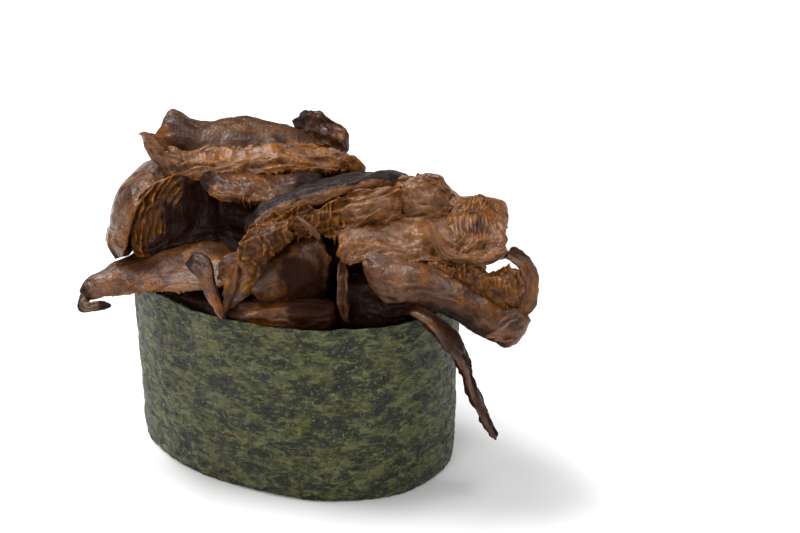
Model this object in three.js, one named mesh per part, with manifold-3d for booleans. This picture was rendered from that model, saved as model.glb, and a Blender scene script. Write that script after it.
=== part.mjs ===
/**
 * Shiitake gunkan sushi, a natural food piece at its real size.
 *
 * An oval block of rice is wrapped in one strip of nori, and a heap of braised shiitake slices fills the
 * space between the rice and the rim and stands well above it. Units are millimetres. The origin is the
 * middle of the flat underside, +Z is up and +X runs along the long axis of the band.
 *
 * Every slice is a bent leaf between two edges. Its rows give a point on one edge and the point opposite it
 * on the other. A curled end or a wall of gills is a second leaf, its tail. The rows are in the heap's own
 * frame: across, away and up, where the heap is turned about +Z by HEAP_TURN from the band.
 */
import * as THREE from 'three';
import { mergeVertices } from 'three/addons/utils/BufferGeometryUtils.js';
import Module from 'manifold-3d';

// Driving dimensions, in millimetres
const BAND_HEIGHT = 30;
const BAND_FOOT = { length: 56, width: 41.2, squareness: 2.2 };
const BAND_RIM = { length: 58.8, width: 46, squareness: 2 };
const NORI_THICKNESS = 0.6;
const GAP = 0.3;
const SEAM_OVERLAP = THREE.MathUtils.degToRad(28);
const SEAM_RAMP = THREE.MathUtils.degToRad(24);
const SEAM_PLACE = THREE.MathUtils.degToRad(76);
const RICE_HEIGHT = 19.5;
const RICE_EDGE_ROUND = 1.2;
const HEAP_TURN = THREE.MathUtils.degToRad(37);

// How finely the pieces are faceted
const BAND_STEPS = 84;
const RICE_STEPS = 56;
const SLICE_RINGS = 12;
const SLICE_SIDES = 10;
const SLICE_SQUARENESS = 3;
const SLICE_END_ROUND = 2;
const SLICE_END_WIDTH = 0.3;
const SLICE_END_SHARE = 1 / 3;
const SLICE_LEAST_HALF_WIDTH = 0.4;
const TANGENT_STEP = 0.001;
const WELD_DISTANCE = 0.0001;
const ROOM_OVERRUN = 1;
const SLIVER = 0.03;

/** One colour and finish for each kind of surface. */
const FINISHES = {
  nori: { color: 0x37402f, roughness: 0.62, metalness: 0 },
  rice: { color: 0xe9e4d6, roughness: 0.45, metalness: 0 },
  skin: { color: 0x5a3d2e, roughness: 0.32, metalness: 0 },
  flesh: { color: 0x9a6b3f, roughness: 0.36, metalness: 0 },
  amber: { color: 0x9c5a22, roughness: 0.3, metalness: 0 },
  dark: { color: 0x33221b, roughness: 0.34, metalness: 0 },
};

/**
 * The slices, strongest first: a slice gives way to every slice above it in the list.
 * Each row is [across, away, up,  across, away, up]: the far edge, then the near edge.
 */
const SLICES = [
  { name: 'dangling_strip', finish: 'dark', thick: 1.6, bulge: 0.4, rows: [
    [18, -22.5, 33.5, 18.5, -22.5, 32.2], [22, -25.5, 33.5, 21, -25.5, 31.6],
    [25, -26, 31, 23, -25.5, 28.8], [27.5, -24.5, 26.5, 25.7, -24, 24.6], [29, -22, 20, 27.4, -22, 19],
    [31, -20, 14.5, 29.6, -20, 13.5], [33, -18.5, 9, 32, -18.5, 8.5]] },
  { name: 'hook_strip', finish: 'skin', thick: 2, bulge: 0.5, rows: [
    [-16, -14, 38, -16, -14.5, 36], [-14.5, -15, 39, -14.5, -16, 35.5],
    [-12.5, -16.5, 38.5, -13.5, -17.5, 34.5], [-11.5, -18.5, 35.5, -12.5, -19, 32.5],
    [-10.5, -19.5, 32.5, -11.5, -19.5, 31], [-10, -20, 30.5, -11, -20, 30]] },
  { name: 'centre_fold_strip', finish: 'skin', thick: 1.4, bulge: 0.4, rows: [
    [-8, -14.5, 38.5, -7, -13, 38.5], [-8.5, -17, 35.5, -7.5, -15.5, 35], [-9.5, -18.5, 32.5, -9, -17.5, 32],
    [-10.5, -19.5, 30, -10, -19, 29.5]] },
  { name: 'centre_fold_left', finish: 'flesh', thick: 1.5, bulge: -0.5, rows: [
    [-12, -14, 37, -10.5, -17, 31.5], [-10, -14, 38.5, -9, -17.5, 31], [-7.5, -14, 39.5, -6.5, -17, 32.5],
    [-5.5, -13.5, 40, -4.5, -16, 34], [-3, -13.5, 40.5, -2, -15.5, 36]] },
  { name: 'red_curl', finish: 'flesh', thick: 1.2, bulge: 0.3, rows: [
    [1, -15, 45.5, 1.5, -16, 44.5], [3, -16, 44.5, 3, -16.5, 43.5], [5, -16, 42, 4, -17, 42]] },
  { name: 'front_knob', finish: 'flesh', thick: 2, bulge: 0.4, rows: [
    [29, -21, 30, 30, -22, 27.5], [31.5, -22, 31, 32.5, -23.5, 27.5], [34, -22, 32, 34.5, -23, 28],
    [36, -20, 32, 36, -21, 29.5]] },
  { name: 'right_front_slice', finish: 'flesh', thick: 2.6, bulge: 1, rows: [
    [11.5, -16.5, 40.5, 12, -19.5, 36], [14, -17.5, 40, 14.5, -22.5, 34.3], [18, -18, 39, 19, -23.8, 33.6],
    [23, -18, 37.8, 24.5, -24, 32], [28.5, -18, 35, 29, -24, 29], [34, -18, 32.5, 33.5, -23, 26.5],
    [37, -18, 30.5, 37, -20, 27.5]],
  tail: { thick: 2, bulge: -0.6, rows: [
    [33.5, -15, 39, 33.5, -15.5, 38], [35, -14.5, 40, 34.5, -16, 38], [37.5, -15, 38.5, 36, -16.5, 37],
    [38.5, -16, 35, 36, -17.5, 34.5], [38.5, -17.5, 32, 35.5, -19, 32], [37, -18.5, 29, 34, -20.5, 31.5]] } },
  { name: 'front_gill_ridge', finish: 'amber', thick: 2.4, bulge: 1, rows: [
    [21, -18, 38.5, 21.5, -20, 38], [25, -18, 37.5, 25, -20.5, 36], [29, -17.5, 36.5, 29.5, -21.5, 34],
    [33, -16.5, 37.3, 32.5, -22, 32], [36.5, -16, 37, 35.5, -21, 30.5]] },
  { name: 'left_tongue_slice', finish: 'flesh', thick: 2.6, bulge: 1, rows: [
    [-34, -8, 30.5, -33.5, -10, 28.5], [-32, -6, 31.5, -28.5, -11, 30.5], [-25.5, -3, 34.3, -24, -13, 31.5],
    [-20.5, -1, 36.4, -17, -15, 32.5], [-14.5, -1, 36.5, -12.5, -16, 33.5], [-8, -3, 35.5, -8, -16, 34]],
  tail: { thick: 2, bulge: 0, rows: [
    [-32.5, -8.5, 31.5, -31, -9.5, 30], [-34, -9.5, 29.5, -32.5, -10, 29], [-34, -10.5, 27.5, -32, -11, 29],
    [-32, -11, 27.5, -31.5, -11, 29], [-29, -11, 28, -29, -11, 29]] } },
  { name: 'centre_petal', finish: 'amber', thick: 2, bulge: 2.2, rows: [
    [-6, -16, 33, -5, -18, 31.5], [-2.8, -12.8, 38, 0, -18, 32.5], [2, -11.2, 41.6, 4, -17, 31.5],
    [5.5, -11.5, 42.2, 6.2, -15, 32]] },
  { name: 'centre_gill_lump', finish: 'amber', thick: 2.4, bulge: 0.8, rows: [
    [-8, -15, 40, -7.5, -16, 37], [-6, -15, 42.5, -5, -17, 38.5], [-2.5, -15, 44, -2, -17, 39.5],
    [0, -15, 45, 0.5, -16.5, 41]] },
  { name: 'rim_slice_front', finish: 'amber', thick: 2.4, bulge: 1, rows: [
    [-10, -16, 31.5, -9.5, -19, 27.5], [-4.5, -17, 31.5, -3.5, -20, 27.5], [1.5, -17, 32, 2, -21, 28],
    [7, -16, 32, 7.5, -20.5, 28]] },
  { name: 'rim_slice_left', finish: 'dark', thick: 2.4, bulge: 1, rows: [
    [-21.5, -5, 29.5, -20.5, -6, 27.5], [-16, -10, 30, -16, -12, 28], [-11, -14, 31.5, -10.5, -17.5, 28]] },
  { name: 'hanging_fringe', finish: 'skin', thick: 1.4, bulge: 0, rows: [
    [7.5, -17, 38.5, 9, -17, 38.5], [7.5, -19, 34.5, 9, -19.5, 34.5], [8.3, -20, 29.5, 9.1, -20, 29.5]] },
  { name: 'swirl_lip', finish: 'flesh', thick: 1.6, bulge: 0.3, rows: [
    [21.5, -16, 45, 21.5, -17.5, 44.5], [23.5, -17, 42, 23, -18.5, 41], [26, -17.5, 40, 25.5, -19, 39],
    [30, -17, 39.5, 30, -18.5, 38.5], [34, -15, 40, 34, -16, 39]] },
  { name: 'upper_right_slab', finish: 'flesh', thick: 2.8, bulge: 0.8, rows: [
    [7.5, -15, 41, 8, -18.5, 38.5], [8.5, -12, 42.5, 10, -19, 39], [12.5, -9, 43, 14.5, -19, 39],
    [18, -8, 43.5, 19, -19, 39], [23.5, -8, 43, 24, -18.5, 38], [27, -8, 41, 27.5, -17, 36]] },
  { name: 'gill_swirl_slice', finish: 'flesh', thick: 3, bulge: 0.8, rows: [
    [23, -9, 43, 24, -17, 38.5], [26, -6, 44.5, 26.5, -16.5, 38], [30, -4, 44, 30.5, -16, 38.5],
    [34, -7, 42.5, 34, -15, 39.5]] },
  { name: 'mid_flesh_chunk', finish: 'flesh', thick: 2.4, bulge: 0.2, rows: [
    [16, -8, 48.5, 16.5, -10, 43.5], [19.5, -7, 49, 20, -11, 42.5], [22.5, -6, 48, 23.5, -11, 42],
    [24.5, -5.5, 46, 25.5, -9.5, 42.5]] },
  { name: 'long_cut_slice', finish: 'flesh', thick: 3.6, bulge: 0.4, rows: [
    [-7, -4, 38.5, -7, -14, 41], [-2, -2, 41, -3.5, -13, 44], [4.5, 0, 43.5, 1.5, -12, 46],
    [11, 0, 45, 7.5, -11, 47.5], [17.5, 0, 45.5, 13, -10, 48.5], [19, -1, 45, 18, -8, 47.5]] },
  { name: 'long_gill_curtain', finish: 'amber', thick: 1.6, bulge: 0.3, rows: [
    [-7.5, -13.5, 41.4, -7.5, -15, 39.2], [-4.5, -13, 43.2, -4, -15, 39], [0, -12.4, 44.5, 0, -14.7, 40.6],
    [4.5, -11.8, 45.9, 4.5, -14.3, 41.4], [8.5, -11.2, 46.5, 9, -13.8, 41.6],
    [13.5, -10.6, 47.2, 13.5, -13.3, 43], [18, -9.5, 47.6, 18, -12, 44]] },
  { name: 'gill_tuft', finish: 'amber', thick: 3, bulge: 1, rows: [
    [23, 0, 40.2, 24.5, -7, 39.2], [28.5, 3, 41, 29, -5, 40], [34.5, 3, 39.6, 34.5, -4, 38.8]] },
  { name: 'dark_core_slice', finish: 'dark', thick: 3, bulge: 1, rows: [
    [8.5, -13, 34.5, 8.5, -17, 28], [13.5, -14, 35, 14, -19, 28.5], [19, -15, 35, 19.5, -19, 30]] },
  { name: 'upper_amber_strip', finish: 'amber', thick: 2.6, bulge: 1, rows: [
    [-24.5, 1, 53.5, -24.5, 1, 53], [-22.5, 2, 52.5, -23, -1, 50.5], [-18, 4, 48.5, -18, -3, 47],
    [-10, 7, 48.5, -9, -2, 46.5], [-1.5, 8, 49, -1, -1, 46.5], [5.5, 8, 47.5, 6.5, 1, 46.5],
    [11, 6.5, 45.5, 11.5, 4, 45]] },
  { name: 'upper_gill_strip', finish: 'flesh', thick: 3, bulge: 1, rows: [
    [-15, -1, 48, -14.5, -5, 46], [-13, 2, 46, -11, -7, 45], [-7, 3, 45, -5.5, -8, 44],
    [-0.5, 3, 45.5, 0, -8, 43.5], [5, 3, 46, 4, -5, 45]] },
  { name: 'left_cap_half', finish: 'skin', thick: 2.4, bulge: -2.8, rows: [
    [-20.5, 9, 44.5, -17.5, -1, 47], [-24.5, 11, 41, -22, -6, 46], [-26, 11, 37.5, -25, -9, 43.5],
    [-26.5, 8, 34.5, -26, -10, 40], [-27, 2, 33, -26.5, -10, 37.5], [-29, -3, 33.5, -27.5, -8, 35.5]],
  tail: { thick: 2, bulge: -0.6, rows: [
    [-25, -8.5, 44.5, -25.5, -9.5, 35.5], [-22.5, -7, 47, -22.5, -8, 36],
    [-18.5, -4.5, 48.5, -19, -6.5, 37], [-14.5, -2, 46, -14.5, -5, 37], [-8, 1, 42.5, -7.5, -4, 37]] } },
  { name: 'cavity_fold', finish: 'dark', thick: 2, bulge: 0, rows: [
    [-21, 2, 45, -21, 0, 34.5], [-15.5, 4, 45, -15.5, 0, 35], [-8, 4.5, 44, -8, 0, 35],
    [-0.5, 4.5, 44.5, -0.5, -1, 36]] },
  { name: 'back_cap_slice', finish: 'skin', thick: 2.4, bulge: 1.5, rows: [
    [-22.5, 8, 51.5, -21.5, 5, 50], [-20, 10, 54.5, -18.5, 4, 48.5], [-15.5, 11, 52, -14.5, 3, 47.5],
    [-9, 12, 52.5, -8, 3, 48], [-2, 12, 51, -1.5, 4, 48], [3, 11, 48, 3.5, 6, 48]] },
  { name: 'back_dark_chunk', finish: 'dark', thick: 2.6, bulge: 0.6, rows: [
    [0, 15, 53, -0.5, 12, 49.5], [4, 16, 52, 3.5, 12, 47], [9, 15, 48.5, 8, 12, 45]] },
  { name: 'back_crown_slice', finish: 'skin', thick: 3, bulge: 1.5, rows: [
    [-19, 10, 47, -25, 13, 39.5], [-11, 13, 48, -15.5, 20.5, 40], [-2, 14, 47, -3, 22, 41],
    [6, 14, 45, 8, 19, 41]] },
  { name: 'back_rim_flap', finish: 'amber', thick: 2.6, bulge: 2, rows: [
    [-1, 20, 41, 3, 28, 35], [4, 18, 42, 10, 27, 33.5], [10, 15, 42, 17, 22, 34], [15, 12, 41, 22, 17, 35]] },
  { name: 'back_tongue_slice', finish: 'flesh', thick: 2.8, bulge: 1.5, rows: [
    [-28, 11, 36.5, -31, 12.5, 34], [-22, 14, 39, -27, 20, 33], [-14, 17.5, 39.8, -18.5, 26.5, 31.5],
    [-7, 19.5, 39.5, -10, 28.8, 30.8], [-1.5, 21.5, 37.5, -3, 26, 33.5]] },
  { name: 'right_cap_half', finish: 'skin', thick: 2.6, bulge: 3, rows: [
    [19, 9, 44, 24, 14, 36], [24, 5, 44, 30, 9, 35], [27, 0, 42, 34, 2, 34], [27, -5, 40, 34, -6, 34]] },
  { name: 'right_rim_slice', finish: 'flesh', thick: 3, bulge: 1, rows: [
    [16, 6, 36, 23, 13, 31.5], [22, 1, 36, 29, 5, 32], [24, -6, 36, 31, -5, 32],
    [23, -13, 36, 29, -14, 32]] },
  { name: 'back_rim_slice', finish: 'dark', thick: 3, bulge: 1, rows: [
    [-24, 7, 36, -28, 12, 31.8], [-14, 12, 36, -17, 22, 31.8], [-2, 15, 36, -2, 25, 31.8],
    [10, 13, 36, 14, 21, 31.8], [16, 9, 36, 20, 16, 31.8]] },
  { name: 'right_inner_fold', finish: 'flesh', thick: 4, bulge: 0, rows: [
    [20, 6, 38.5, 20, -9, 36.5], [24, 4, 38.5, 25, -9, 36.2], [28, 2, 37.8, 28.5, -5, 36.6]] },
  { name: 'core_top_fold', finish: 'flesh', thick: 6, bulge: 1, rows: [
    [-16, 8, 42, -15, -1, 41], [-4, 10, 43, -4, -8, 39.5], [9, 9, 42.5, 9, -9, 39.5],
    [19, 4, 41, 17, -8, 39.5]] },
  { name: 'core_fold_left', finish: 'flesh', thick: 7, bulge: 1, rows: [
    [-22, 6, 35, -20, -3, 35], [-11, 9, 36, -10, -6, 35], [-1, 10, 36, -1, -9, 35]] },
  { name: 'core_fold_right', finish: 'flesh', thick: 7, bulge: 1, rows: [
    [1, 10, 36, 1, -9, 35], [11, 8, 36, 10, -10, 35], [19, 1, 35, 18, -9, 34.5]] },
  { name: 'core_slice_left', finish: 'skin', thick: 5, bulge: 0, rows: [
    [-21, 9, 28, -21, -5, 28], [-10, 14, 28, -10, -12, 28], [1, 17, 28, 0, -15, 28]] },
  { name: 'core_slice_right', finish: 'skin', thick: 5, bulge: 0, rows: [
    [3, 17, 28, 3, -15, 28], [12, 13, 28, 11, -17, 28], [21, 6, 28, 20, -13, 28]] },
  { name: 'bed_slice_left', finish: 'skin', thick: 3.6, bulge: 0, rows: [
    [-22, 9, 22.5, -22, -4, 22.5], [-12, 15, 22.5, -11, -12, 22.5], [-1, 18, 22.5, -1, -18, 22.5]] },
  { name: 'bed_slice_right', finish: 'skin', thick: 3.6, bulge: 0, rows: [
    [1, 18, 22.5, 1, -18, 22.5], [11, 14, 22.5, 11, -17, 22.5], [21, 7, 22.5, 19, -13, 22.5]] },
];

const wasm = await Module();
wasm.setup();

/** Turns a closed indexed geometry into a manifold solid. */
function toSolid(geometry) {
  const clean = geometry.clone();
  clean.deleteAttribute('normal');
  clean.deleteAttribute('uv');
  const merged = mergeVertices(clean, WELD_DISTANCE);
  return new wasm.Manifold(new wasm.Mesh({
    numProp: 3,
    vertProperties: new Float32Array(merged.attributes.position.array),
    triVerts: new Uint32Array(merged.index.array),
  }));
}

/** Turns a manifold solid back into a geometry. */
function toGeometry(solid) {
  const mesh = solid.getMesh();
  const geometry = new THREE.BufferGeometry();
  geometry.setAttribute('position', new THREE.BufferAttribute(new Float32Array(mesh.vertProperties), 3));
  geometry.setIndex(new THREE.BufferAttribute(new Uint32Array(mesh.triVerts), 1));
  geometry.computeVertexNormals();
  return geometry;
}

/** Builds a geometry from points and triangles, and turns it right side out if it came out reversed. */
function closedGeometry(points, triangles) {
  let volume = 0;
  for (const [a, b, c] of triangles) {
    volume += points[a].dot(new THREE.Vector3().crossVectors(points[b], points[c]));
  }
  const faces = volume < 0 ? triangles.map(([a, b, c]) => [a, c, b]) : triangles;
  const geometry = new THREE.BufferGeometry().setFromPoints(points);
  geometry.setIndex(faces.flat());
  geometry.computeVertexNormals();
  return geometry;
}

/** The two triangles of a quad, given its corners in order. */
function quad(a, b, c, d) {
  return [[a, b, c], [a, c, d]];
}

/** Cosine raised to a power that squares off the circle, keeping its sign. */
function squared(value, squareness) {
  return Math.sign(value) * Math.abs(value) ** (2 / squareness);
}

/** A point of the oval at one height of the band, pushed outwards by an offset. */
function ovalPoint(angle, height, offset) {
  const k = height / BAND_HEIGHT;
  const mix = (name) => THREE.MathUtils.lerp(BAND_FOOT[name], BAND_RIM[name], k);
  const squareness = mix('squareness');
  const x = (mix('length') / 2 + offset) * squared(Math.cos(angle), squareness);
  const y = (mix('width') / 2 + offset) * squared(Math.sin(angle), squareness);
  return new THREE.Vector3(x, y, height);
}

/** One strip wound once round the rice, its outer end lying over its inner end at the seam. */
function noriGeometry() {
  const sweep = 2 * Math.PI + SEAM_OVERLAP;
  const points = [];
  const triangles = [];
  for (let i = 0; i <= BAND_STEPS; i += 1) {
    const turned = (sweep * i) / BAND_STEPS;
    const lift = THREE.MathUtils.smoothstep(turned, 2 * Math.PI - SEAM_RAMP, 2 * Math.PI);
    const offset = lift * (NORI_THICKNESS + GAP) - NORI_THICKNESS;
    const angle = SEAM_PLACE + turned;
    points.push(
      ovalPoint(angle, 0, offset),
      ovalPoint(angle, BAND_HEIGHT, offset),
      ovalPoint(angle, BAND_HEIGHT, offset + NORI_THICKNESS),
      ovalPoint(angle, 0, offset + NORI_THICKNESS),
    );
  }
  for (let i = 0; i < BAND_STEPS; i += 1) {
    for (let side = 0; side < 4; side += 1) {
      const next = (side + 1) % 4;
      triangles.push(...quad(4 * i + side, 4 * i + next, 4 * i + 4 + next, 4 * i + 4 + side));
    }
  }
  const last = 4 * BAND_STEPS;
  triangles.push(...quad(3, 2, 1, 0), ...quad(last, last + 1, last + 2, last + 3));
  return closedGeometry(points, triangles);
}

/** A stack of ovals closed at its foot and top, each level given as [height, offset]. */
function ovalStack(levels) {
  const points = [];
  const triangles = [];
  for (const [height, offset] of levels) {
    for (let i = 0; i < RICE_STEPS; i += 1) {
      points.push(ovalPoint((2 * Math.PI * i) / RICE_STEPS, height, offset));
    }
  }
  const foot = points.push(new THREE.Vector3(0, 0, levels[0][0])) - 1;
  const top = points.push(new THREE.Vector3(0, 0, levels.at(-1)[0])) - 1;
  const lastRing = (levels.length - 1) * RICE_STEPS;
  for (let i = 0; i < RICE_STEPS; i += 1) {
    const j = (i + 1) % RICE_STEPS;
    for (let ring = 0; ring < lastRing; ring += RICE_STEPS) {
      triangles.push(...quad(ring + i, ring + j, ring + RICE_STEPS + j, ring + RICE_STEPS + i));
    }
    triangles.push([foot, j, i], [top, lastRing + i, lastRing + j]);
  }
  return closedGeometry(points, triangles);
}

/** The pressed rice, clear of the nori by the gap, with softened upper and lower edges. */
function riceGeometry() {
  const wall = -NORI_THICKNESS - GAP;
  return ovalStack([
    [0, wall - RICE_EDGE_ROUND / 2],
    [RICE_EDGE_ROUND / 2, wall],
    [RICE_HEIGHT - RICE_EDGE_ROUND, wall],
    [RICE_HEIGHT, wall - RICE_EDGE_ROUND],
  ]);
}

/** The room that the nori takes up, the gap and the seam's double layer included. */
function noriRoom() {
  const outside = toSolid(ovalStack([
    [-ROOM_OVERRUN, NORI_THICKNESS + 2 * GAP],
    [BAND_HEIGHT + GAP, NORI_THICKNESS + 2 * GAP],
  ]));
  const inside = toSolid(ovalStack([
    [-2 * ROOM_OVERRUN, -NORI_THICKNESS - GAP],
    [BAND_HEIGHT + ROOM_OVERRUN, -NORI_THICKNESS - GAP],
  ]));
  return outside.subtract(inside);
}

/** A point of the heap's own frame, in the part's frame. */
function heapPoint(across, away, up) {
  return new THREE.Vector3(across, away, up).applyAxisAngle(new THREE.Vector3(0, 0, 1), HEAP_TURN);
}

/** Ring places along a slice, from 0 to 1, closer together towards its ends. */
function ringPlaces() {
  return Array.from({ length: SLICE_RINGS }, (_, i) => {
    const k = i / (SLICE_RINGS - 1);
    return (k + (1 - Math.cos(Math.PI * k)) / 2) / 2;
  });
}

/** The leaf between two edges, grown on every side by an extra thickness. */
function leafGeometry(leaf, grow) {
  const edge = (first) => new THREE.CatmullRomCurve3(
    leaf.rows.map((row) => heapPoint(...row.slice(first, first + 3))), false, 'catmullrom', 0.5);
  const far = edge(0);
  const near = edge(3);
  const middle = (t) => far.getPoint(t).add(near.getPoint(t)).multiplyScalar(0.5);
  const places = ringPlaces();
  const centres = places.map(middle);
  const walked = centres.map((_, i) => centres.slice(1, i + 1)
    .reduce((sum, p, k) => sum + p.distanceTo(centres[k]), 0));
  const total = walked.at(-1);
  const endRound = Math.min(SLICE_END_ROUND, total * SLICE_END_SHARE);
  const points = [];
  places.forEach((t, i) => {
    const chord = far.getPoint(t).sub(near.getPoint(t));
    const across = chord.clone().normalize();
    const behind = middle(Math.max(t - TANGENT_STEP, 0));
    const along = middle(Math.min(t + TANGENT_STEP, 1)).sub(behind).normalize();
    const square = across.clone().addScaledVector(along, -across.dot(along)).normalize();
    const out = new THREE.Vector3().crossVectors(along, square);
    const toEnd = Math.min(1, Math.min(walked[i], total - walked[i]) / endRound);
    const full = SLICE_END_WIDTH + (1 - SLICE_END_WIDTH) * Math.sqrt(1 - (1 - toEnd) ** 2);
    const halfWidth = Math.max(chord.length() / 2, SLICE_LEAST_HALF_WIDTH) * full + grow;
    const halfThick = (leaf.thick / 2) * full + grow;
    const push = grow * ((t === 1) - (t === 0));
    for (let side = 0; side < SLICE_SIDES; side += 1) {
      const angle = (2 * Math.PI * side) / SLICE_SIDES;
      const c = squared(Math.cos(angle), SLICE_SQUARENESS);
      const s = squared(Math.sin(angle), SLICE_SQUARENESS);
      points.push(centres[i].clone()
        .addScaledVector(along, push)
        .addScaledVector(across, c * halfWidth)
        .addScaledVector(out, s * halfThick + leaf.bulge * (1 - c * c)));
    }
  });
  const ringCentre = (ring) => points.slice(ring * SLICE_SIDES, (ring + 1) * SLICE_SIDES)
    .reduce((sum, p) => sum.add(p), new THREE.Vector3()).divideScalar(SLICE_SIDES);
  const first = points.push(ringCentre(0)) - 1;
  const last = points.push(ringCentre(SLICE_RINGS - 1)) - 1;
  const lastRing = (SLICE_RINGS - 1) * SLICE_SIDES;
  const triangles = [];
  for (let side = 0; side < SLICE_SIDES; side += 1) {
    const next = (side + 1) % SLICE_SIDES;
    for (let ring = 0; ring < lastRing; ring += SLICE_SIDES) {
      const above = ring + SLICE_SIDES;
      triangles.push(...quad(ring + side, ring + next, above + next, above + side));
    }
    triangles.push([first, next, side], [last, lastRing + side, lastRing + next]);
  }
  return closedGeometry(points, triangles);
}

/** A slice with the tail that grows out of it, where it has one. */
function sliceSolid(slice, grow) {
  const leaf = toSolid(leafGeometry(slice, grow));
  return slice.tail ? leaf.add(toSolid(leafGeometry(slice.tail, grow))) : leaf;
}

/** True where the boxes round two solids meet. */
function boxesMeet(a, b) {
  const boxA = a.boundingBox();
  const boxB = b.boundingBox();
  return [0, 1, 2].every((k) => boxA.min[k] < boxB.max[k] && boxB.min[k] < boxA.max[k]);
}

/** Cuts every stronger solid's room out of a slice and keeps the largest body that is left. */
function trimmed(solid, rooms) {
  const near = rooms.filter((room) => boxesMeet(solid, room));
  const left = near.length > 0 ? solid.subtract(wasm.Manifold.union(near)) : solid;
  return left.decompose().sort((a, b) => b.volume() - a.volume())[0].simplify(SLIVER);
}

/** A named mesh in one of the finishes. */
function piece(name, geometry, finish) {
  const mesh = new THREE.Mesh(geometry, new THREE.MeshStandardMaterial(FINISHES[finish]));
  mesh.name = name;
  return mesh;
}

const group = new THREE.Group();
group.add(piece('nori_band', noriGeometry(), 'nori'));
group.add(piece('rice_block', riceGeometry(), 'rice'));

const rooms = [noriRoom(), toSolid(riceGeometry())];
for (const slice of SLICES) {
  const solid = trimmed(sliceSolid(slice, 0), rooms);
  group.add(piece(slice.name, toGeometry(solid), slice.finish));
  rooms.push(sliceSolid(slice, GAP).add(solid));
}

export default group;
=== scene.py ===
"""Shiitake gunkan sushi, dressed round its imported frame.

An oval block of rice stands in one strip of nori, and a heap of braised shiitake slices fills it and rises
above its rim. Lengths in the classes are millimetres, and SCALE turns them into the scene's metres.
"""

from __future__ import annotations

import logging
import math
from dataclasses import dataclass, field
from enum import Enum

import bpy
import numpy as np
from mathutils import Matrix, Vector

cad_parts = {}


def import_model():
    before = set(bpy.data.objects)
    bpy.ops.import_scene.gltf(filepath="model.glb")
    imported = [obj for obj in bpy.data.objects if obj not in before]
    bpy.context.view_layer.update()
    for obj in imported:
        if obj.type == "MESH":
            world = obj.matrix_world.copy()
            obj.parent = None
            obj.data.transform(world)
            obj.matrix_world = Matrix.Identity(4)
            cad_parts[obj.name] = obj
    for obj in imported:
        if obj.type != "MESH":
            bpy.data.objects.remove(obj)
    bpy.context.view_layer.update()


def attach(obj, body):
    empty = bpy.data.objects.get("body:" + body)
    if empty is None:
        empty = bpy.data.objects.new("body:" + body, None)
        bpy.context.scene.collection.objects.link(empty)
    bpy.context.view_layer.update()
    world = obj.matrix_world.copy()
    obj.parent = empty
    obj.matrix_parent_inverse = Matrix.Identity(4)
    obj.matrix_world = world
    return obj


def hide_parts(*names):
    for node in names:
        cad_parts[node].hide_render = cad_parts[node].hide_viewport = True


LOG = logging.getLogger("shiitake_gunkan")
SCALE = 0.001
BODY = "root"
HEAP_TURN = math.radians(37.0)

Array = np.ndarray
Piece = bpy.types.Object
Row = tuple[float, float, float, float, float, float]
Triple = tuple[float, float, float]
Colour = tuple[float, float, float]
Socket = bpy.types.NodeSocket


class Zone(Enum):
    """What a stretch of a slice's surface is."""

    FACE = "face"
    SKIN = "skin"
    FLESH = "flesh"
    AMBER = "amber"
    GILL = "gill"
    DARK = "dark"


FACE, SKIN, FLESH, AMBER, GILL, DARK = Zone
TINTS = (SKIN, FLESH, AMBER, DARK)
# The attribute that carries painted shade (creases, gill gaps, grooves) and each leaf's own darker tone.
PAINTED_SHADE_AND_TONE = "painted_shade_and_tone"
Patch = tuple[Zone, float, float, float, float]


class SurfaceNoise:
    """Smooth noise from a wrapped lattice of seeded random slopes."""

    SIDE = 32
    GAIN = 1.7
    LAYER_SHIFT = 7.3

    def __init__(self, seed: int) -> None:
        """Draws the lattice.

        Args:
            seed: The number that fixes the draw.
        """
        slopes = np.random.default_rng(seed).normal(size=(self.SIDE**3, 3))
        self.slopes = (slopes / np.linalg.norm(slopes, axis=1)[:, None]).astype(np.float32)

    def smooth(self, points: Array, size: float) -> Array:
        """Reads the noise at points.

        Args:
            points: Places, one row each.
            size: The width of a bump.

        Returns:
            One value for each point, mostly from -1 to 1.
        """
        scaled = (points / size).astype(np.float32)
        cell = np.floor(scaled)
        part = scaled - cell
        blend = part * part * part * (part * (part * 6.0 - 15.0) + 10.0)
        low = cell.astype(np.int32)
        total = np.zeros(len(points), dtype=np.float32)
        for corner in np.ndindex(2, 2, 2):
            x, y, z = ((low[:, k] + corner[k]) % self.SIDE for k in range(3))
            slope = self.slopes[(x * self.SIDE + y) * self.SIDE + z]
            weight = np.ones(len(points), dtype=np.float32)
            for k in range(3):
                weight *= blend[:, k] if corner[k] else 1.0 - blend[:, k]
            total += weight * np.einsum("ij,ij->i", slope, part - np.asarray(corner, dtype=np.float32))
        return self.GAIN * total

    def layered(self, points: Array, size: float, layers: int = 3) -> Array:
        """Adds finer noise to coarse noise.

        Args:
            points: Places, one row each.
            size: The width of the coarsest bumps.
            layers: How many sizes are added, each half the one before.

        Returns:
            One value for each point, mostly from -1 to 1.
        """
        total = np.zeros(len(points))
        for layer in range(layers):
            total += self.smooth(points + self.LAYER_SHIFT * layer, size / 2**layer) / 2**layer
        return total


NOISE = SurfaceNoise(11)


def unit(vectors: Array) -> Array:
    """Scales each row to length one.

    Args:
        vectors: Rows of any length.

    Returns:
        The same directions with length one.
    """
    return vectors / np.maximum(np.linalg.norm(vectors, axis=-1, keepdims=True), 1e-9)


def ease(low: float, high: float, value: Array) -> Array:
    """Rises smoothly from 0 at low to 1 at high.

    Args:
        low: Where the rise begins.
        high: Where it ends.
        value: What is tested.

    Returns:
        Values from 0 to 1.
    """
    part = np.clip((value - low) / (high - low), 0.0, 1.0)
    return part * part * (3.0 - 2.0 * part)


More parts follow.
